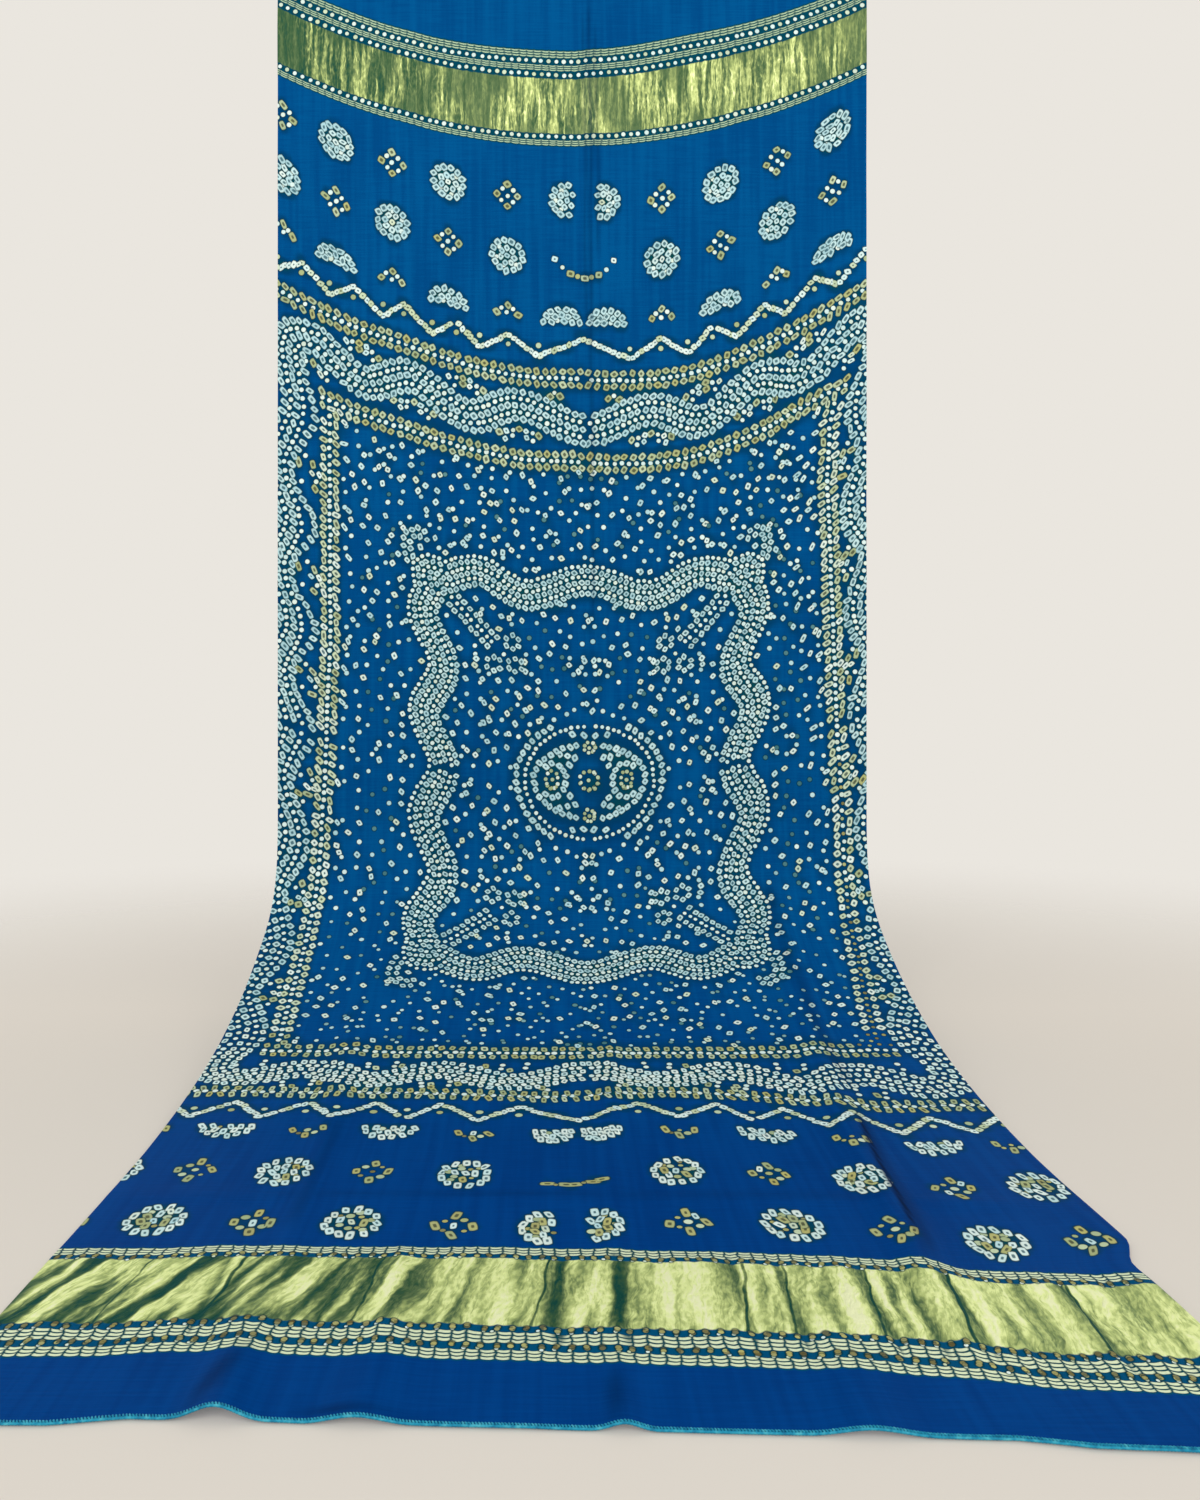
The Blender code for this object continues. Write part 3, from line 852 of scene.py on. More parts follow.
def clothSheet():
    across, along, fromTop, fromFront = clothGrid()
    back, wave = clothPoints(across, along, fromTop, fromFront)
    side, down = np.gradient(back, axis=0), np.gradient(back, axis=1)
    normal = np.cross(down, side)
    normal /= np.linalg.norm(normal, axis=2, keepdims=True)
    face = back + cloth["thickness"] * normal
    mesh, corners = sheetMesh(face, back)
    for name, grids in (("places", (across, along)), ("ends", (fromTop, fromFront))):
        layer = mesh.uv_layers.new(name=name)
        values = np.stack([grid.ravel() for grid in grids], axis=-1)[corners]
        layer.uv.foreach_set("vector", values.astype(np.float32).ravel())
    laid = wholePattern()
    # kept on the grid: the tie density, the pleats' painted shade and highlight, and the creases' painted shade
    shades = {"tied": tiedness(laid, across, along), "pleat": wave, "crease": creaseShade(across, along)}
    for name, values in shades.items():
        addAttribute(mesh, name, "FLOAT", "POINT", np.tile(values.ravel(), 2))
    spot, look = spotTables(laid, across, along)
    empty = np.tile(nowhere, (len(mesh.polygons) - 2 * spot.shape[1], 1))
    for slot in range(spotSlots):
        for name, table in (("spot", spot[slot]), ("look", look[slot])):
            addAttribute(mesh, f"{name}{slot}", "FLOAT_VECTOR", "FACE", np.concatenate((table, table, empty)))
    edges = [0.5 * (face[:, row] + back[:, row]) for row in (0, -1)]
    inner = [0.5 * (face[:, row] + back[:, row]) for row in (1, -2)]
    ups = [normal[:, row] for row in (0, -1)]
    return newPiece("cloth_sheet", mesh), list(zip(edges, inner, ups))


# short ways to write node trees: a wire is a node's output, and stands in a sum as a number does
class Wire:
    def __init__(self, socket):
        self.socket, self.tree = socket, socket.id_data

    def __add__(self, other):
        return sums("ADD", self, other)

    def __sub__(self, other):
        return sums("SUBTRACT", self, other)

    def __rsub__(self, other):
        return sums("SUBTRACT", other, self)

    def __mul__(self, other):
        return sums("MULTIPLY", self, other)

    def __truediv__(self, other):
        return sums("DIVIDE", self, other)

    def __abs__(self):
        return sums("ABSOLUTE", self)


def feed(sockets, values):
    for name, value in values.items():
        if isinstance(value, Wire):
            value.tree.links.new(value.socket, sockets[name])
        else:
            sockets[name].default_value = value


def addNode(tree, kind, inputs={}, **settings):
    node = tree.nodes.new(kind)
    for name, value in settings.items():
        setattr(node, name, value)
    feed(node.inputs, inputs)
    return node


def wire(tree, kind, inputs={}, output=0, **settings):
    return Wire(addNode(tree, kind, inputs, **settings).outputs[output])


def sums(operation, *values):
    tree = next(value.tree for value in values if isinstance(value, Wire))
    return wire(tree, "ShaderNodeMath", dict(enumerate(values)), operation=operation)


def timesPlus(value, factor, extra):
    return sums("MULTIPLY_ADD", value, factor, extra)


def larger(first, second):
    return sums("MAXIMUM", first, second)


def parted(value, form="XYZ"):
    # the three parts of a vector or a colour
    return [Wire(part) for part in addNode(value.tree, "ShaderNodeSeparate" + form, {0: value}).outputs]


def rampStep(value, low, high):
    # rises smoothly from 0 at low to 1 at high
    inputs = {"Value": value, "From Min": low, "From Max": high}
    return wire(value.tree, "ShaderNodeMapRange", inputs, "Result", interpolation_type="SMOOTHSTEP")


def blendColour(share, under, over):
    # either colour may be a plain one
    under, over = (item if isinstance(item, Wire) else (*item, 1) for item in (under, over))
    return wire(share.tree, "ShaderNodeMix", {0: share, 6: under, 7: over}, 2, data_type="RGBA")


def colourRamp(value, stops):
    node = addNode(value.tree, "ShaderNodeValToRGB")
    ramp = node.color_ramp
    ramp.elements.remove(ramp.elements[1])
    for number, (place, colour) in enumerate(stops):
        stop = ramp.elements.new(place) if number else ramp.elements[0]
        stop.position, stop.color = place, (*colour, 1)
    feed(node.inputs, {0: value})
    return Wire(node.outputs[0])


def stretchedNoise(place, across, down, scale, detail):
    stretched = wire(place.tree, "ShaderNodeVectorMath", {0: place, 1: (across, down, 1)},
                     operation="MULTIPLY")
    inputs = {"Vector": stretched, "Scale": scale, "Detail": detail}
    return wire(place.tree, "ShaderNodeTexNoise", inputs, "Fac", noise_dimensions="3D")


def newGroup(name, inputs, outputs, kind="ShaderNodeTree"):
    group = bpy.data.node_groups.new(name, kind)
    for way, sockets in (("INPUT", inputs), ("OUTPUT", outputs)):
        for label, form in sockets.items():
            group.interface.new_socket(label, in_out=way, socket_type="NodeSocket" + form)
    given = {socket.name: Wire(socket) for socket in group.nodes.new("NodeGroupInput").outputs}
    return group, given, group.nodes.new("NodeGroupOutput").inputs


def useGroup(tree, group, values):
    node = addNode(tree, "ShaderNodeGroup", values, node_tree=group)
    return {socket.name: Wire(socket) for socket in node.outputs}


def newMaterial(name):
    material = bpy.data.materials.new(name)
    material.use_nodes = True
    return material, material.node_tree, material.node_tree.nodes["Principled BSDF"].inputs


# the overlock edging along both hems: slanting loops and a chain along the edge
edging = {
    "Pitch": 0.0021, "Half Width": 0.0013, "Half Height": 0.0009, "Thread": 0.00068, "Lean": 0.55,
    "Seed": 5, "Sides": 5,
}
edgingInset, edgingLift = 0.0005, 0.0003


def edgingTree():
    tree, given, result = newGroup("hem edging", {
        "Geometry": "Geometry", "Pitch": "Float", "Half Width": "Float", "Half Height": "Float",
        "Thread": "Float", "Lean": "Float", "Seed": "Int", "Sides": "Int", "Material": "Material",
    }, {"Geometry": "Geometry"}, "GeometryNodeTree")
    line = wire(tree, "GeometryNodeMeshToCurve", {0: given["Geometry"]})
    outward, up = (wire(tree, "GeometryNodeInputNamedAttribute", {"Name": name}, data_type="FLOAT_VECTOR")
                   for name in ("outward", "up"))

    def tube(curve, radius):
        profile = wire(tree, "GeometryNodeCurvePrimitiveCircle", {
            "Resolution": given["Sides"], "Radius": radius})
        return wire(tree, "GeometryNodeCurveToMesh", {"Curve": curve, "Profile Curve": profile})

    # one loop, flattened round the edge
    hoop = wire(tree, "GeometryNodeCurvePrimitiveCircle", {"Resolution": 11, "Radius": 1.0})
    size = wire(tree, "ShaderNodeCombineXYZ", {"X": given["Half Width"], "Y": given["Half Height"], "Z": 1.0})
    loop = tube(wire(tree, "GeometryNodeTransform", {"Geometry": hoop, "Scale": size}), given["Thread"])
    stops = wire(tree, "GeometryNodeResampleCurve", {"Curve": line, "Length": given["Pitch"]}, mode="LENGTH")
    axes = wire(tree, "FunctionNodeAxesToRotation", {"Primary Axis": outward, "Secondary Axis": up},
                primary_axis="X", secondary_axis="Y")
    chance = wire(tree, "FunctionNodeRandomValue", {2: 0.6, 3: 1.4, "Seed": given["Seed"]}, 1,
                  data_type="FLOAT")
    lean = wire(tree, "ShaderNodeCombineXYZ", {"Y": chance * given["Lean"]})
    turned = wire(tree, "FunctionNodeRotateRotation", {0: axes, 1: lean}, rotation_space="LOCAL")
    loops = wire(tree, "GeometryNodeInstanceOnPoints", {
        "Points": stops, "Instance": loop, "Rotation": turned})

    # the chain zigzags from loop to loop along the outside
    links = wire(tree, "GeometryNodeResampleCurve", {"Curve": line, "Length": given["Pitch"] * 0.5},
                 mode="LENGTH")
    odd = sums("MODULO", wire(tree, "GeometryNodeInputIndex"), 2.0)
    reach = given["Half Width"] * timesPlus(odd, 0.30, 0.82)
    offset = wire(tree, "ShaderNodeVectorMath", {0: outward, "Scale": reach}, operation="SCALE")
    zigzag = wire(tree, "GeometryNodeSetPosition", {"Geometry": links, "Offset": offset})
    chain = tube(zigzag, given["Thread"] * 1.45)

    both = addNode(tree, "GeometryNodeJoinGeometry")
    for part in (chain, loops):
        feed(both.inputs, {0: part})
    real = wire(tree, "GeometryNodeRealizeInstances", {0: Wire(both.outputs[0])})
    threads = wire(tree, "GeometryNodeSetMaterial", {"Geometry": real, "Material": given["Material"]})
    feed(result, {0: threads})
    return tree


def hemEdging(hems, material):
    places, outs, ups, links = [], [], [], []
    for edge, inner, up in hems:
        outward = edge - inner
        outward /= np.linalg.norm(outward, axis=1, keepdims=True)
        first = len(places)
        places += list(edge - edgingInset * outward + edgingLift * up)
        outs += list(outward)
        ups += list(up)
        links += [(index, index + 1) for index in range(first, len(places) - 1)]
    mesh = bpy.data.meshes.new("hem line")
    mesh.from_pydata([tuple(place) for place in places], links, [])
    for name, values in (("outward", outs), ("up", ups)):
        addAttribute(mesh, name, "FLOAT_VECTOR", "POINT", values)
    guide = newPiece("hem line", mesh)
    modifier = guide.modifiers.new("edging", "NODES")
    modifier.node_group = edgingTree()
    values = {**edging, "Material": material}
    for socket in modifier.node_group.interface.items_tree:
        if socket.in_out == "INPUT" and socket.name in values:
            modifier[socket.identifier] = values[socket.name]
    ready = guide.evaluated_get(bpy.context.evaluated_depsgraph_get())
    made = bpy.data.meshes.new_from_object(ready)
    bpy.data.objects.remove(guide)
    made.shade_smooth()
    print("edging", sum(len(face.vertices) - 2 for face in made.polygons), "triangles")
    return newPiece("hem_edging", made)


# linear colours of the dye, the undyed silk and the metal thread
colours = {
    # silk of the hanging part, and of the floor part as a darker copy in painted shade; the streak colours of
    # each are partly painted sheen
    "silkHangingLit": (0.0003, 0.064, 0.234), "silkHangingLitStreak": (0.0006, 0.092, 0.292),
    "silkFloorShaded": (0.0004, 0.042, 0.214), "silkFloorShadedStreak": (0.0006, 0.055, 0.258),
    "tiedField": (0.0008, 0.046, 0.138), "tiedThick": (0.0024, 0.066, 0.066),
    # the colour of the painted shade along the creases
    "creased": (0.0002, 0.012, 0.060),
    "dotShadow": (0.0015, 0.038, 0.046), "eye": (0.035, 0.115, 0.150), "eyeBrown": (0.070, 0.080, 0.045),
    "dull": (0.16, 0.30, 0.30), "bandGround": (0.0030, 0.062, 0.070),
    "topStrip": (0.0010, 0.062, 0.112), "frontStrip": (0.0006, 0.080, 0.200),
    # the metal lines: a darker copy at the top and a far lighter one at the front on the floor, painted shade
    # and a painted reflection of one thread
    "topLineShaded": (0.400, 0.540, 0.360), "frontLineLit": (0.800, 0.900, 0.620),
}
dotTones = (
    (0.00, (0.020, 0.120, 0.160)), (0.16, (0.110, 0.270, 0.290)), (0.28, (0.460, 0.730, 0.800)),
    (0.40, (0.660, 0.900, 0.910)), (0.50, (0.840, 0.980, 0.930)), (0.60, (0.640, 0.760, 0.520)),
    (0.72, (0.400, 0.490, 0.260)), (0.84, (0.540, 0.520, 0.185)), (0.92, (0.290, 0.250, 0.085)),
    (1.00, (0.125, 0.100, 0.035)),
)
# the gold tissue's colours: from dark green, painted shade where the blue warp shows, through olive to a pale
# painted highlight
goldShadeToHighlight = (
    (0.00, (0.010, 0.070, 0.052)), (0.20, (0.050, 0.115, 0.050)), (0.38, (0.130, 0.200, 0.085)),
    (0.54, (0.300, 0.385, 0.140)), (0.70, (0.570, 0.670, 0.250)), (0.86, (0.880, 0.980, 0.420)),
    (1.00, (0.960, 1.000, 0.600)),
)
edgingTones = ((0.25, (0.004, 0.130, 0.270)), (0.50, (0.012, 0.270, 0.430)), (0.75, (0.080, 0.450, 0.560)))
dotLook = {
    "ringFrom": (0.12, 0.28),      # with an eye this large a round bead becomes a squarish ring
    "longFrom": (3.2, 3.6),        # turned further than half way round, a ring is drawn long
    "longer": 0.02, "longerByChance": 0.16, "longerTurned": 0.20, "shear": 0.5,
    "round": 0.46, "square": 0.60, "edge": (0.82, 1.10), "dotShadowWidth": 0.0021, "dotShadowShare": 0.82,
    "eyeInner": 0.70, "eyeOuter": 1.40, "eyeFrom": (0.08, 0.26), "eyeShare": 0.88, "eyeDip": 0.5,
    "dullShare": 0.20, "yellowFrom": (0.52, 0.66),
}


def tiedDotGroup():
    # one tied dot over what is under it: a rounded square of undyed silk with a dyed eye, and a painted shadow
    # round it
    group, given, result = newGroup("tiedDot", {
        "Place": "Vector", "Spot": "Vector", "Look": "Vector", "Under": "Color", "Height": "Float",
    }, {"Colour": "Color", "Height": "Float", "Cover": "Float"})
    d = dotLook
    size = parted(given["Spot"])[2]
    tone, hole, turn = parted(given["Look"])
    middle = wire(group, "ShaderNodeVectorMath", {0: given["Spot"], 1: (1, 1, 0)}, operation="MULTIPLY")
    offset = wire(group, "ShaderNodeVectorMath", {0: given["Place"], 1: middle}, operation="SUBTRACT")
    turned = wire(group, "ShaderNodeVectorRotate", {"Vector": offset, "Angle": turn}, rotation_type="Z_AXIS")
    drawn = wire(group, "ShaderNodeTexWhiteNoise", {"Vector": given["Spot"]}, "Color", noise_dimensions="3D")
    longChance, dullChance, shearChance = parted(drawn, "Color")
    x, y, _ = parted(turned)

    ring = rampStep(hole, *d["ringFrom"])
    stands = rampStep(turn, *d["longFrom"])
    longer = timesPlus(longChance, d["longerByChance"], timesPlus(stands, d["longerTurned"], d["longer"]))
    wide = 1.0 - ring * longer
    tall = ring * longer + 1.0
    shear = (shearChance - 0.5) * (ring * d["shear"])
    x = abs(timesPlus(y, shear, x) * wide)
    y = abs(y * tall)
    circle = sums("SQRT", x * x + y * y)
    square = larger(x, y)
    box = circle * d["round"] + square * d["square"]
    reach = box * ring + circle * (1.0 - ring)
    share = reach / size
    cover = 1.0 - rampStep(share, *d["edge"])
    dotShadow = 1.0 - rampStep(reach - size, 0.0, d["dotShadowWidth"])
    eye = 1.0 - rampStep(share, hole * d["eyeInner"], timesPlus(hole, d["eyeOuter"], 0.001))
    eye = eye * rampStep(hole, *d["eyeFrom"])
    bright = blendColour(dullChance * d["dullShare"], colourRamp(tone, dotTones), colours["dull"])
    eyeColour = blendColour(rampStep(tone, *d["yellowFrom"]), colours["eye"], colours["eyeBrown"])
    dot = blendColour(eye * d["eyeShare"], bright, eyeColour)
    # a painted shadow round the dot darkens what is under it
    shaded = blendColour(dotShadow * d["dotShadowShare"], given["Under"], colours["dotShadow"])
    feed(result, {"Colour": blendColour(cover, shaded, dot)})
    rise = cover - eye * d["eyeDip"]
    feed(result, {"Height": given["Height"] + rise, "Cover": cover})
    return group


def wovenBandGroup(name, band, threads=3):
    # masks of the metal lines, the broad tissue and the strips between, from the distance to the hem
    group, given, result = newGroup(name, {"From Hem": "Float"}, {
        "Lines": "Float", "Tissue": "Float", "Ground": "Float", "Strip": "Float"})
    place = (given["From Hem"] - band["fromHem"]) / band["stretch"]

    def between(first, last, soft):
        rise = rampStep(place, first - soft, first + soft)
        fall = rampStep(place, last - soft, last + soft)
        return rise * (1.0 - fall)

    lines, zones = 0.0, 0.0
    for part in ("outerLines", "middleLines", "innerLines"):
        start, end = band["parts"][part]
        turns = (place - start) * (2 * math.pi * threads / (end - start))
        thread = rampStep(sums("COSINE", turns), *band["thread"])
        zone = between(start, end, 0.0004)
        zones = larger(zones, zone)
        lines = larger(lines, zone * thread)
    tissue = between(*band["parts"]["tissue"], 0.0008)
    whole = between(-0.001, end + 0.001, 0.001)
    feed(result, {"Lines": lines, "Tissue": tissue, "Ground": whole, "Strip": whole - zones})
    return group


# the silk's noises: stretch across and down, scale, detail
silkNoises = {
    "slow": (1.0, 0.5, 9.0, 2.0), "streaks": (1.0, 0.04, 110.0, 4.0), "weft": (0.05, 1.0, 420.0, 3.0),
    "weave": (1.0, 0.8, 1500.0, 1.0), "mottle": (1.0, 1.0, 42.0, 3.0),
}
# 'front' blends the silk into its floor copy, a painted shade; 'light' sets the lighter streaks, partly painted
# sheen
silkLook = {
    "front": (0.10, 0.80), "light": (0.38, 0.62), "streaks": 0.42, "slow": 0.30, "weft": 0.28,
    "tied": (0.15, 0.95), "tiedShare": 0.85, "thick": (0.75, 2.2), "mottle": (0.30, 0.62), "weave": 0.10,
}


def dyedSilkGroup():
    # the blue ground: slow changes, threads and lighter streaks that are partly painted sheen, painted shade
    # that darkens the front end on the floor, and the greener colour among the ties
    group, given, result = newGroup("dyedSilk", {"Place": "Vector", "Tied": "Float"},
                                    {"Colour": "Color", "Height": "Float"})
    s = silkLook
    slow, streaks, weft, weave, mottle = (
        stretchedNoise(given["Place"], *noise) for noise in silkNoises.values())
    front = rampStep(parted(given["Place"])[1], *s["front"])
    light = rampStep(streaks * s["streaks"] + slow * s["slow"] + weft * s["weft"], *s["light"])
    hanging = blendColour(light, colours["silkHangingLit"], colours["silkHangingLitStreak"])
    floor = blendColour(light, colours["silkFloorShaded"], colours["silkFloorShadedStreak"])
    blue = blendColour(front, hanging, floor)
    blue = blendColour(rampStep(given["Tied"], *s["tied"]) * s["tiedShare"], blue, colours["tiedField"])
    thick = rampStep(given["Tied"], *s["thick"]) * timesPlus(rampStep(mottle, *s["mottle"]), 0.35, 0.60)
    feed(result, {"Colour": blendColour(thick, blue, colours["tiedThick"])})
    feed(result, {"Height": weft * 0.5 + streaks * 0.5 + weave * s["weave"]})
    return group


def tiedPleatGroup():
    # the small pleats between the tied dots of a band: 0 at a dot to 1 halfway to the next
    group, given, result = newGroup("tiedPleats", {"Place": "Vector", "Pitch": "Float"}, {"Rise": "Float"})
    across = parted(given["Place"])[0]
    wander = stretchedNoise(given["Place"], 1.0, 2.0, 60.0, 1.0) - 0.5
    aside = timesPlus(wander, 0.0050, across) - bandTies["start"]
    part = sums("FRACT", aside / given["Pitch"])
    away = abs(timesPlus(part, 2.0, -1.0))
    feed(result, {"Rise": 1.0 - away * away})
    return group


# brightness of the gold tissue, partly painted highlight and shade of its crinkles, partly its own changeable
# colour: shares of its stripes, streaks, crush marks and pleats
goldPaintedShading = {
    # the top tissue is painted darker and the front tissue on the floor far lighter: painted shade, and a
    # painted reflection of the bright backdrop
    "top": {"shade": 0.41, "stripe": 0.18, "streak": 0.38, "crush": 0.18, "ridge": 0.20, "pleat": 0.10},
    "front": {"shade": 0.79, "stripe": 0.23, "streak": 0.21, "crush": 0.18, "ridge": -0.10, "pleat": 0.23},
    "leftShade": -0.31, "leftStripe": 0.46, "leftFrom": (-0.02, -0.30), "topLeft": -0.17,
    "topLeftFrom": (-0.08, -0.38), "lean": (0.14, 0.42), "leanAbout": 0.98,
    "wander": (0.016, 0.007), "creaseShadeWander": 0.012, "creaseShadeEdge": (0.3, 1.3),
    "crinkled": (0.36, 0.58), "ridgeWidth": (0.004, 0.030), "crushHeight": 0.8,
}
# its noises: stretch down, scale, detail, from, to
goldNoises = {
    "topStreak": (0.08, 150.0, 2.0, 0.36, 0.64), "frontStreak": (0.12, 80.0, 3.0, 0.36, 0.64),
    "crush": (0.38, 300.0, 3.0, 0.36, 0.64), "stripe": (0.10, 50.0, 1.5, 0.42, 0.58),
}


def crushedTissueGroup():
    group, given, result = newGroup("crushedTissue", {
        "Place": "Vector", "Pleat": "Float", "Near Top": "Float",
    }, {"Colour": "Color", "Height": "Float"})
    g, nearTop = goldPaintedShading, given["Near Top"]
    across, along, _ = parted(given["Place"])
    atFront = 1.0 - nearTop
    left = rampStep(across, *g["leftFrom"]) * atFront
    few, many = g["lean"]
    lean = timesPlus(left, many - few, few) * atFront
    wander = stretchedNoise(given["Place"], 1.0, 0.8, 30.0, 2.0) - 0.5
    aside = timesPlus(along - g["leanAbout"], lean, across)
    frontSwing, topSwing = g["wander"]
    aside = timesPlus(wander, timesPlus(nearTop, topSwing - frontSwing, frontSwing), aside)
    bent = wire(group, "ShaderNodeCombineXYZ", {"X": aside, "Y": along})

    def strewn(name):
        down, scale, detail, low, high = goldNoises[name]
        return rampStep(stretchedNoise(bent, 1.0, down, scale, detail), low, high) - 0.5

    patch = stretchedNoise(given["Place"], 1.0, 0.45, 17.0, 2.0)
    crinkled = larger(rampStep(patch, *g["crinkled"]), timesPlus(atFront, 0.4, 0.4))
    fineLine = abs(stretchedNoise(bent, 1.0, 0.13, 120.0, 2.0) - 0.5)
    ridge = (1.0 - rampStep(fineLine, *g["ridgeWidth"])) * crinkled
    streak = strewn("topStreak") * nearTop + strewn("frontStreak") * atFront
    crush = strewn("crush")
    stripe = strewn("stripe") * atFront + (crinkled - 0.5) * nearTop
    sources = {"shade": 1.0, "stripe": stripe, "streak": streak * crinkled, "crush": crush * crinkled,
               "ridge": ridge, "pleat": given["Pleat"]}
    # the tissue is painted darker towards the left of both bands
    value = rampStep(across, *g["topLeftFrom"]) * nearTop * g["topLeft"]
    value = timesPlus(left, g["leftShade"], value)
    value = timesPlus(left * stripe, g["leftStripe"], value)
    for name, source in sources.items():
        share = timesPlus(nearTop, g["top"][name] - g["front"][name], g["front"][name])
        value = timesPlus(source, share, value)

    # painted shade in the sharp creases of the front tissue
    tissueCreaseShade = 0.0
    sway = timesPlus(wander, g["creaseShadeWander"], timesPlus(along - g["leanAbout"], few, across))
    inner, outer = g["creaseShadeEdge"]
    for middle, halfWidth, strength in frontBand["tissueCreaseShade"]:
        mark = 1.0 - rampStep(abs(sway - middle), inner * halfWidth, outer * halfWidth)
        tissueCreaseShade = larger(tissueCreaseShade, mark * strength)
    value = value - tissueCreaseShade * atFront
    feed(result, {"Colour": colourRamp(value, goldShadeToHighlight)})
    feed(result, {"Height": streak + crush * g["crushHeight"]})
    return group


clothLook = {
    "nearTop": (0.60, 0.50), "bow": (0.0014, -0.0008), "parted": (0.05, 0.62), "topParted": 0.45,
    "hidden": (-1.50, -0.55), "groundShare": 0.92, "metallic": 0.15, "roughness": 0.55,
    "bump": {"Strength": 0.75, "Distance": 0.0005},
    "shine": {"Specular IOR Level": 0.01, "Specular Tint": (0.10, 0.50, 1.0, 1)},
}


def clothMaterial():
    dotGroup, silk = tiedDotGroup(), dyedSilkGroup()
    pleatGroup, tissueGroup = tiedPleatGroup(), crushedTissueGroup()
    material, tree, shader = newMaterial("bandhani silk")
    c = clothLook

    def stored(name, part="Fac"):
        return wire(tree, "ShaderNodeAttribute", output=part, attribute_name=name)

    places, ends = (wire(tree, "ShaderNodeUVMap", uv_map=name) for name in ("places", "ends"))
    fromTop, fromFront, _ = parted(ends)
    # read from the grid: the tie density, the pleats' painted shade and highlight, and the creases' painted
    # shade
    tied, pleat, crease = (stored(name) for name in ("tied", "pleat", "crease"))
    nearTop = rampStep(fromTop, *c["nearTop"])

    # the pleats bow the woven lines and part them at the tied dots
    pitch = timesPlus(nearTop, topBand["dotPitch"] - frontBand["dotPitch"], frontBand["dotPitch"])
    rise = useGroup(tree, pleatGroup, {"Place": places, "Pitch": pitch})["Rise"]
    frontBow, topBow = c["bow"]
    bow = (rise - 0.5) * timesPlus(nearTop, topBow - frontBow, frontBow)
    top = useGroup(tree, wovenBandGroup("topBand", topBand), {"From Hem": bow + fromTop})
    front = useGroup(tree, wovenBandGroup("frontBand", frontBand), {"From Hem": bow + fromFront})
    lines, tissue, ground, strip = (
        larger(top[mask], front[mask]) for mask in ("Lines", "Tissue", "Ground", "Strip"))
    unbroken = larger(rampStep(rise, *c["parted"]), nearTop * c["topParted"])
    # the metal lines fade out where the pleats' painted shade is darkest
    lines = lines * unbroken * rampStep(pleat, *c["hidden"])

    base = useGroup(tree, silk, {"Place": places, "Tied": tied})
    gold = useGroup(tree, tissueGroup, {"Place": places, "Pleat": pleat, "Near Top": nearTop})
    stripColour = blendColour(nearTop, colours["frontStrip"], colours["topStrip"])
    # the top lines in painted shade, the front ones with a painted reflection
    lineColour = blendColour(nearTop, colours["frontLineLit"], colours["topLineShaded"])
    colour = blendColour(ground * c["groundShare"], base["Colour"], colours["bandGround"])
    colour = blendColour(strip * c["groundShare"], colour, stripColour)
    colour = blendColour(lines, colour, lineColour)
    colour = blendColour(tissue, colour, gold["Colour"])
    height, cover = base["Height"], 0.0
    for slot in range(spotSlots):
        dot = useGroup(tree, dotGroup, {
            "Place": places, "Spot": stored(f"spot{slot}", "Vector"), "Look": stored(f"look{slot}", "Vector"),
            "Under": colour, "Height": height})
        colour, height = dot["Colour"], dot["Height"]
        cover = larger(cover, dot["Cover"])
    # painted shade along the creases darkens the colour
    colour = blendColour(crease, colour, colours["creased"])
    metal = larger(lines, tissue) * (1.0 - cover)
    bump = addNode(tree, "ShaderNodeBump", c["bump"])
    feed(bump.inputs, {"Height": timesPlus(ground, gold["Height"], height)})
    feed(shader, {"Base Color": colour, "Metallic": metal * c["metallic"],
                  "Roughness": c["roughness"] - metal * c["metallic"], "Normal": Wire(bump.outputs[0]),
                  **c["shine"]})
    return material


def threadMaterial():
    material, tree, shader = newMaterial("edging thread")
    place = wire(tree, "ShaderNodeTexCoord", output="Object")
    patch = stretchedNoise(place, 1.0, 1.0, 260.0, 2.0)
    fibre = stretchedNoise(place, 1.0, 1.0, 3200.0, 2.0)
    normal = wire(tree, "ShaderNodeBump", {"Strength": 0.5, "Distance": 0.0001, "Height": fibre})
    feed(shader, {"Base Color": colourRamp(patch, edgingTones), "Normal": normal,
                  "Roughness": timesPlus(fibre, 0.2, 0.45), "Specular Tint": (0.3, 0.8, 1.0, 1)})
    return material


# the stage, light and camera
stageSet = {
    "floorSize": 6.0, "floorFade": (0.9, 2.8), "floorMiddle": (0.0, -0.4, 0.0),
    "floorColour": (0.62, 0.58, 0.525), "floorGlow": 0.17,
    "wallColour": (0.823, 0.791, 0.737), "ceilingColour": (0.52, 0.505, 0.49), "ceilingFrom": (0.60, 0.92),
}
lamps = {
    "key": {"place": (-1.0, -3.2, 3.0), "aim": (0.0, 0.2, 0.7), "size": 2.6, "power": 62.0},
    "fill": {"place": (2.2, -2.8, 1.8), "aim": (0.0, 0.2, 0.7), "size": 2.2, "power": 20.0},
}
photoCamera = {"fromWall": 1.684, "height": 0.453, "aside": 0.038, "lens": 26.4, "shift": (0.002, -0.0267)}


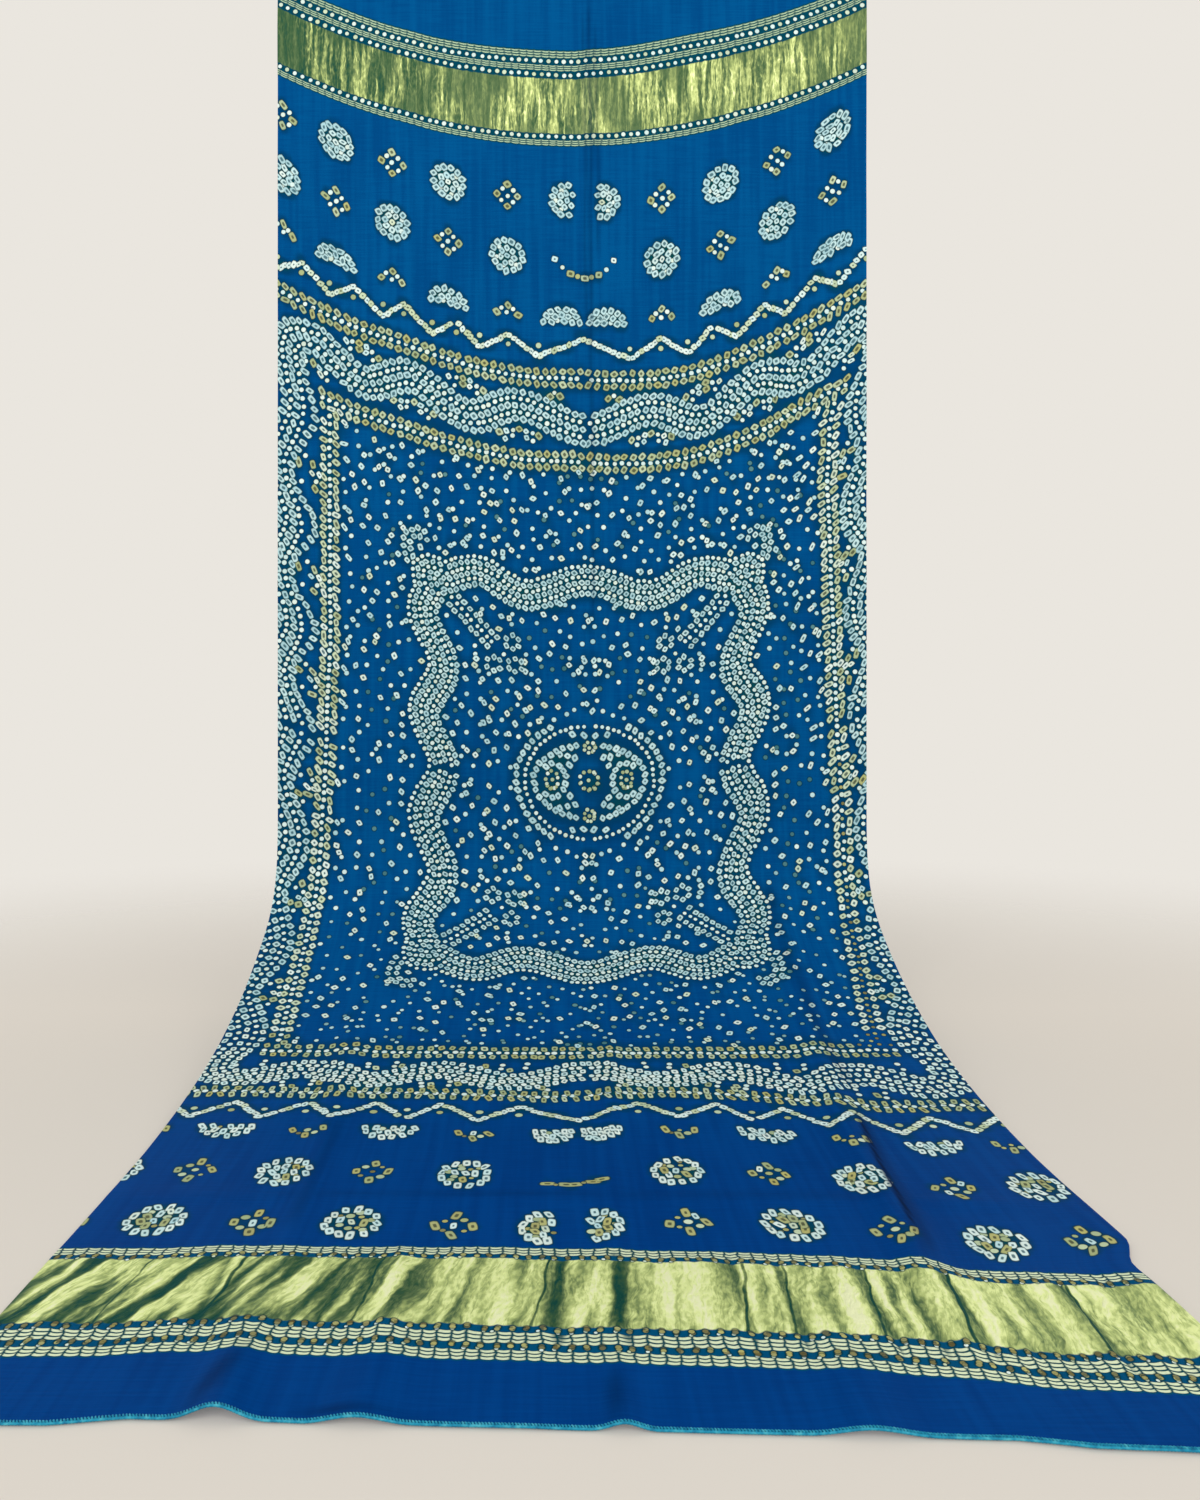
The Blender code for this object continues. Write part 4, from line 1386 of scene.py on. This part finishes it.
def studioWorld():
    world = bpy.data.worlds.new("studio")
    world.use_nodes = True
    up = parted(wire(world.node_tree, "ShaderNodeTexCoord", output="Generated"))[2]
    above = rampStep(up, *stageSet["ceilingFrom"])
    feed(world.node_tree.nodes["Background"].inputs, {
        "Color": blendColour(above, stageSet["wallColour"], stageSet["ceilingColour"])})
    return world


def paleFloor():
    # a plain floor that fades out into the wall's colour
    size = stageSet["floorSize"]
    mesh = bpy.data.meshes.new("floor")
    corners = [(-size, -size, 0), (size, -size, 0), (size, size, 0), (-size, size, 0)]
    mesh.from_pydata(corners, [], [(0, 1, 2, 3)])
    material, tree, shader = newMaterial("floor")
    gap = wire(tree, "ShaderNodeVectorMath", {
        0: wire(tree, "ShaderNodeTexCoord", output="Object"), 1: stageSet["floorMiddle"],
    }, "Value", operation="DISTANCE")
    near, far = stageSet["floorFade"]
    feed(shader, {
        "Base Color": (*stageSet["floorColour"], 1), "Emission Color": (*stageSet["wallColour"], 1),
        "Emission Strength": stageSet["floorGlow"], "Roughness": 0.9, "Specular IOR Level": 0.1,
        "Alpha": rampStep(gap, far, near),
    })
    mesh.materials.append(material)
    newPiece("floor", mesh)


def stageAndLight():
    scene = bpy.context.scene
    scene.world = studioWorld()
    paleFloor()
    for name, lamp in lamps.items():
        data = bpy.data.lights.new(name, "AREA")
        data.size, data.energy = lamp["size"], lamp["power"]
        light = newPiece(name, data)
        light.location = lamp["place"]
        aim = Vector(lamp["aim"]) - Vector(lamp["place"])
        light.rotation_euler = aim.to_track_quat("-Z", "Y").to_euler()

    data = bpy.data.cameras.new("camera")
    data.lens, data.sensor_width = photoCamera["lens"], 36.0
    data.shift_x, data.shift_y = photoCamera["shift"]
    camera = newPiece("camera", data)
    forward = clothHigh[1] - photoCamera["fromWall"]
    camera.location = (middleX + photoCamera["aside"], forward, photoCamera["height"])
    camera.rotation_euler = (math.radians(90), 0, 0)
    scene.camera = camera
    scene.view_settings.view_transform = "Standard"
    print("stage, light and camera set")


sheet, hems = clothSheet()
sheet.data.materials.append(clothMaterial())
edge = hemEdging(hems, threadMaterial())
for piece in (sheet, edge):
    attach(piece, "root")
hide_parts("cloth")
stageAndLight()
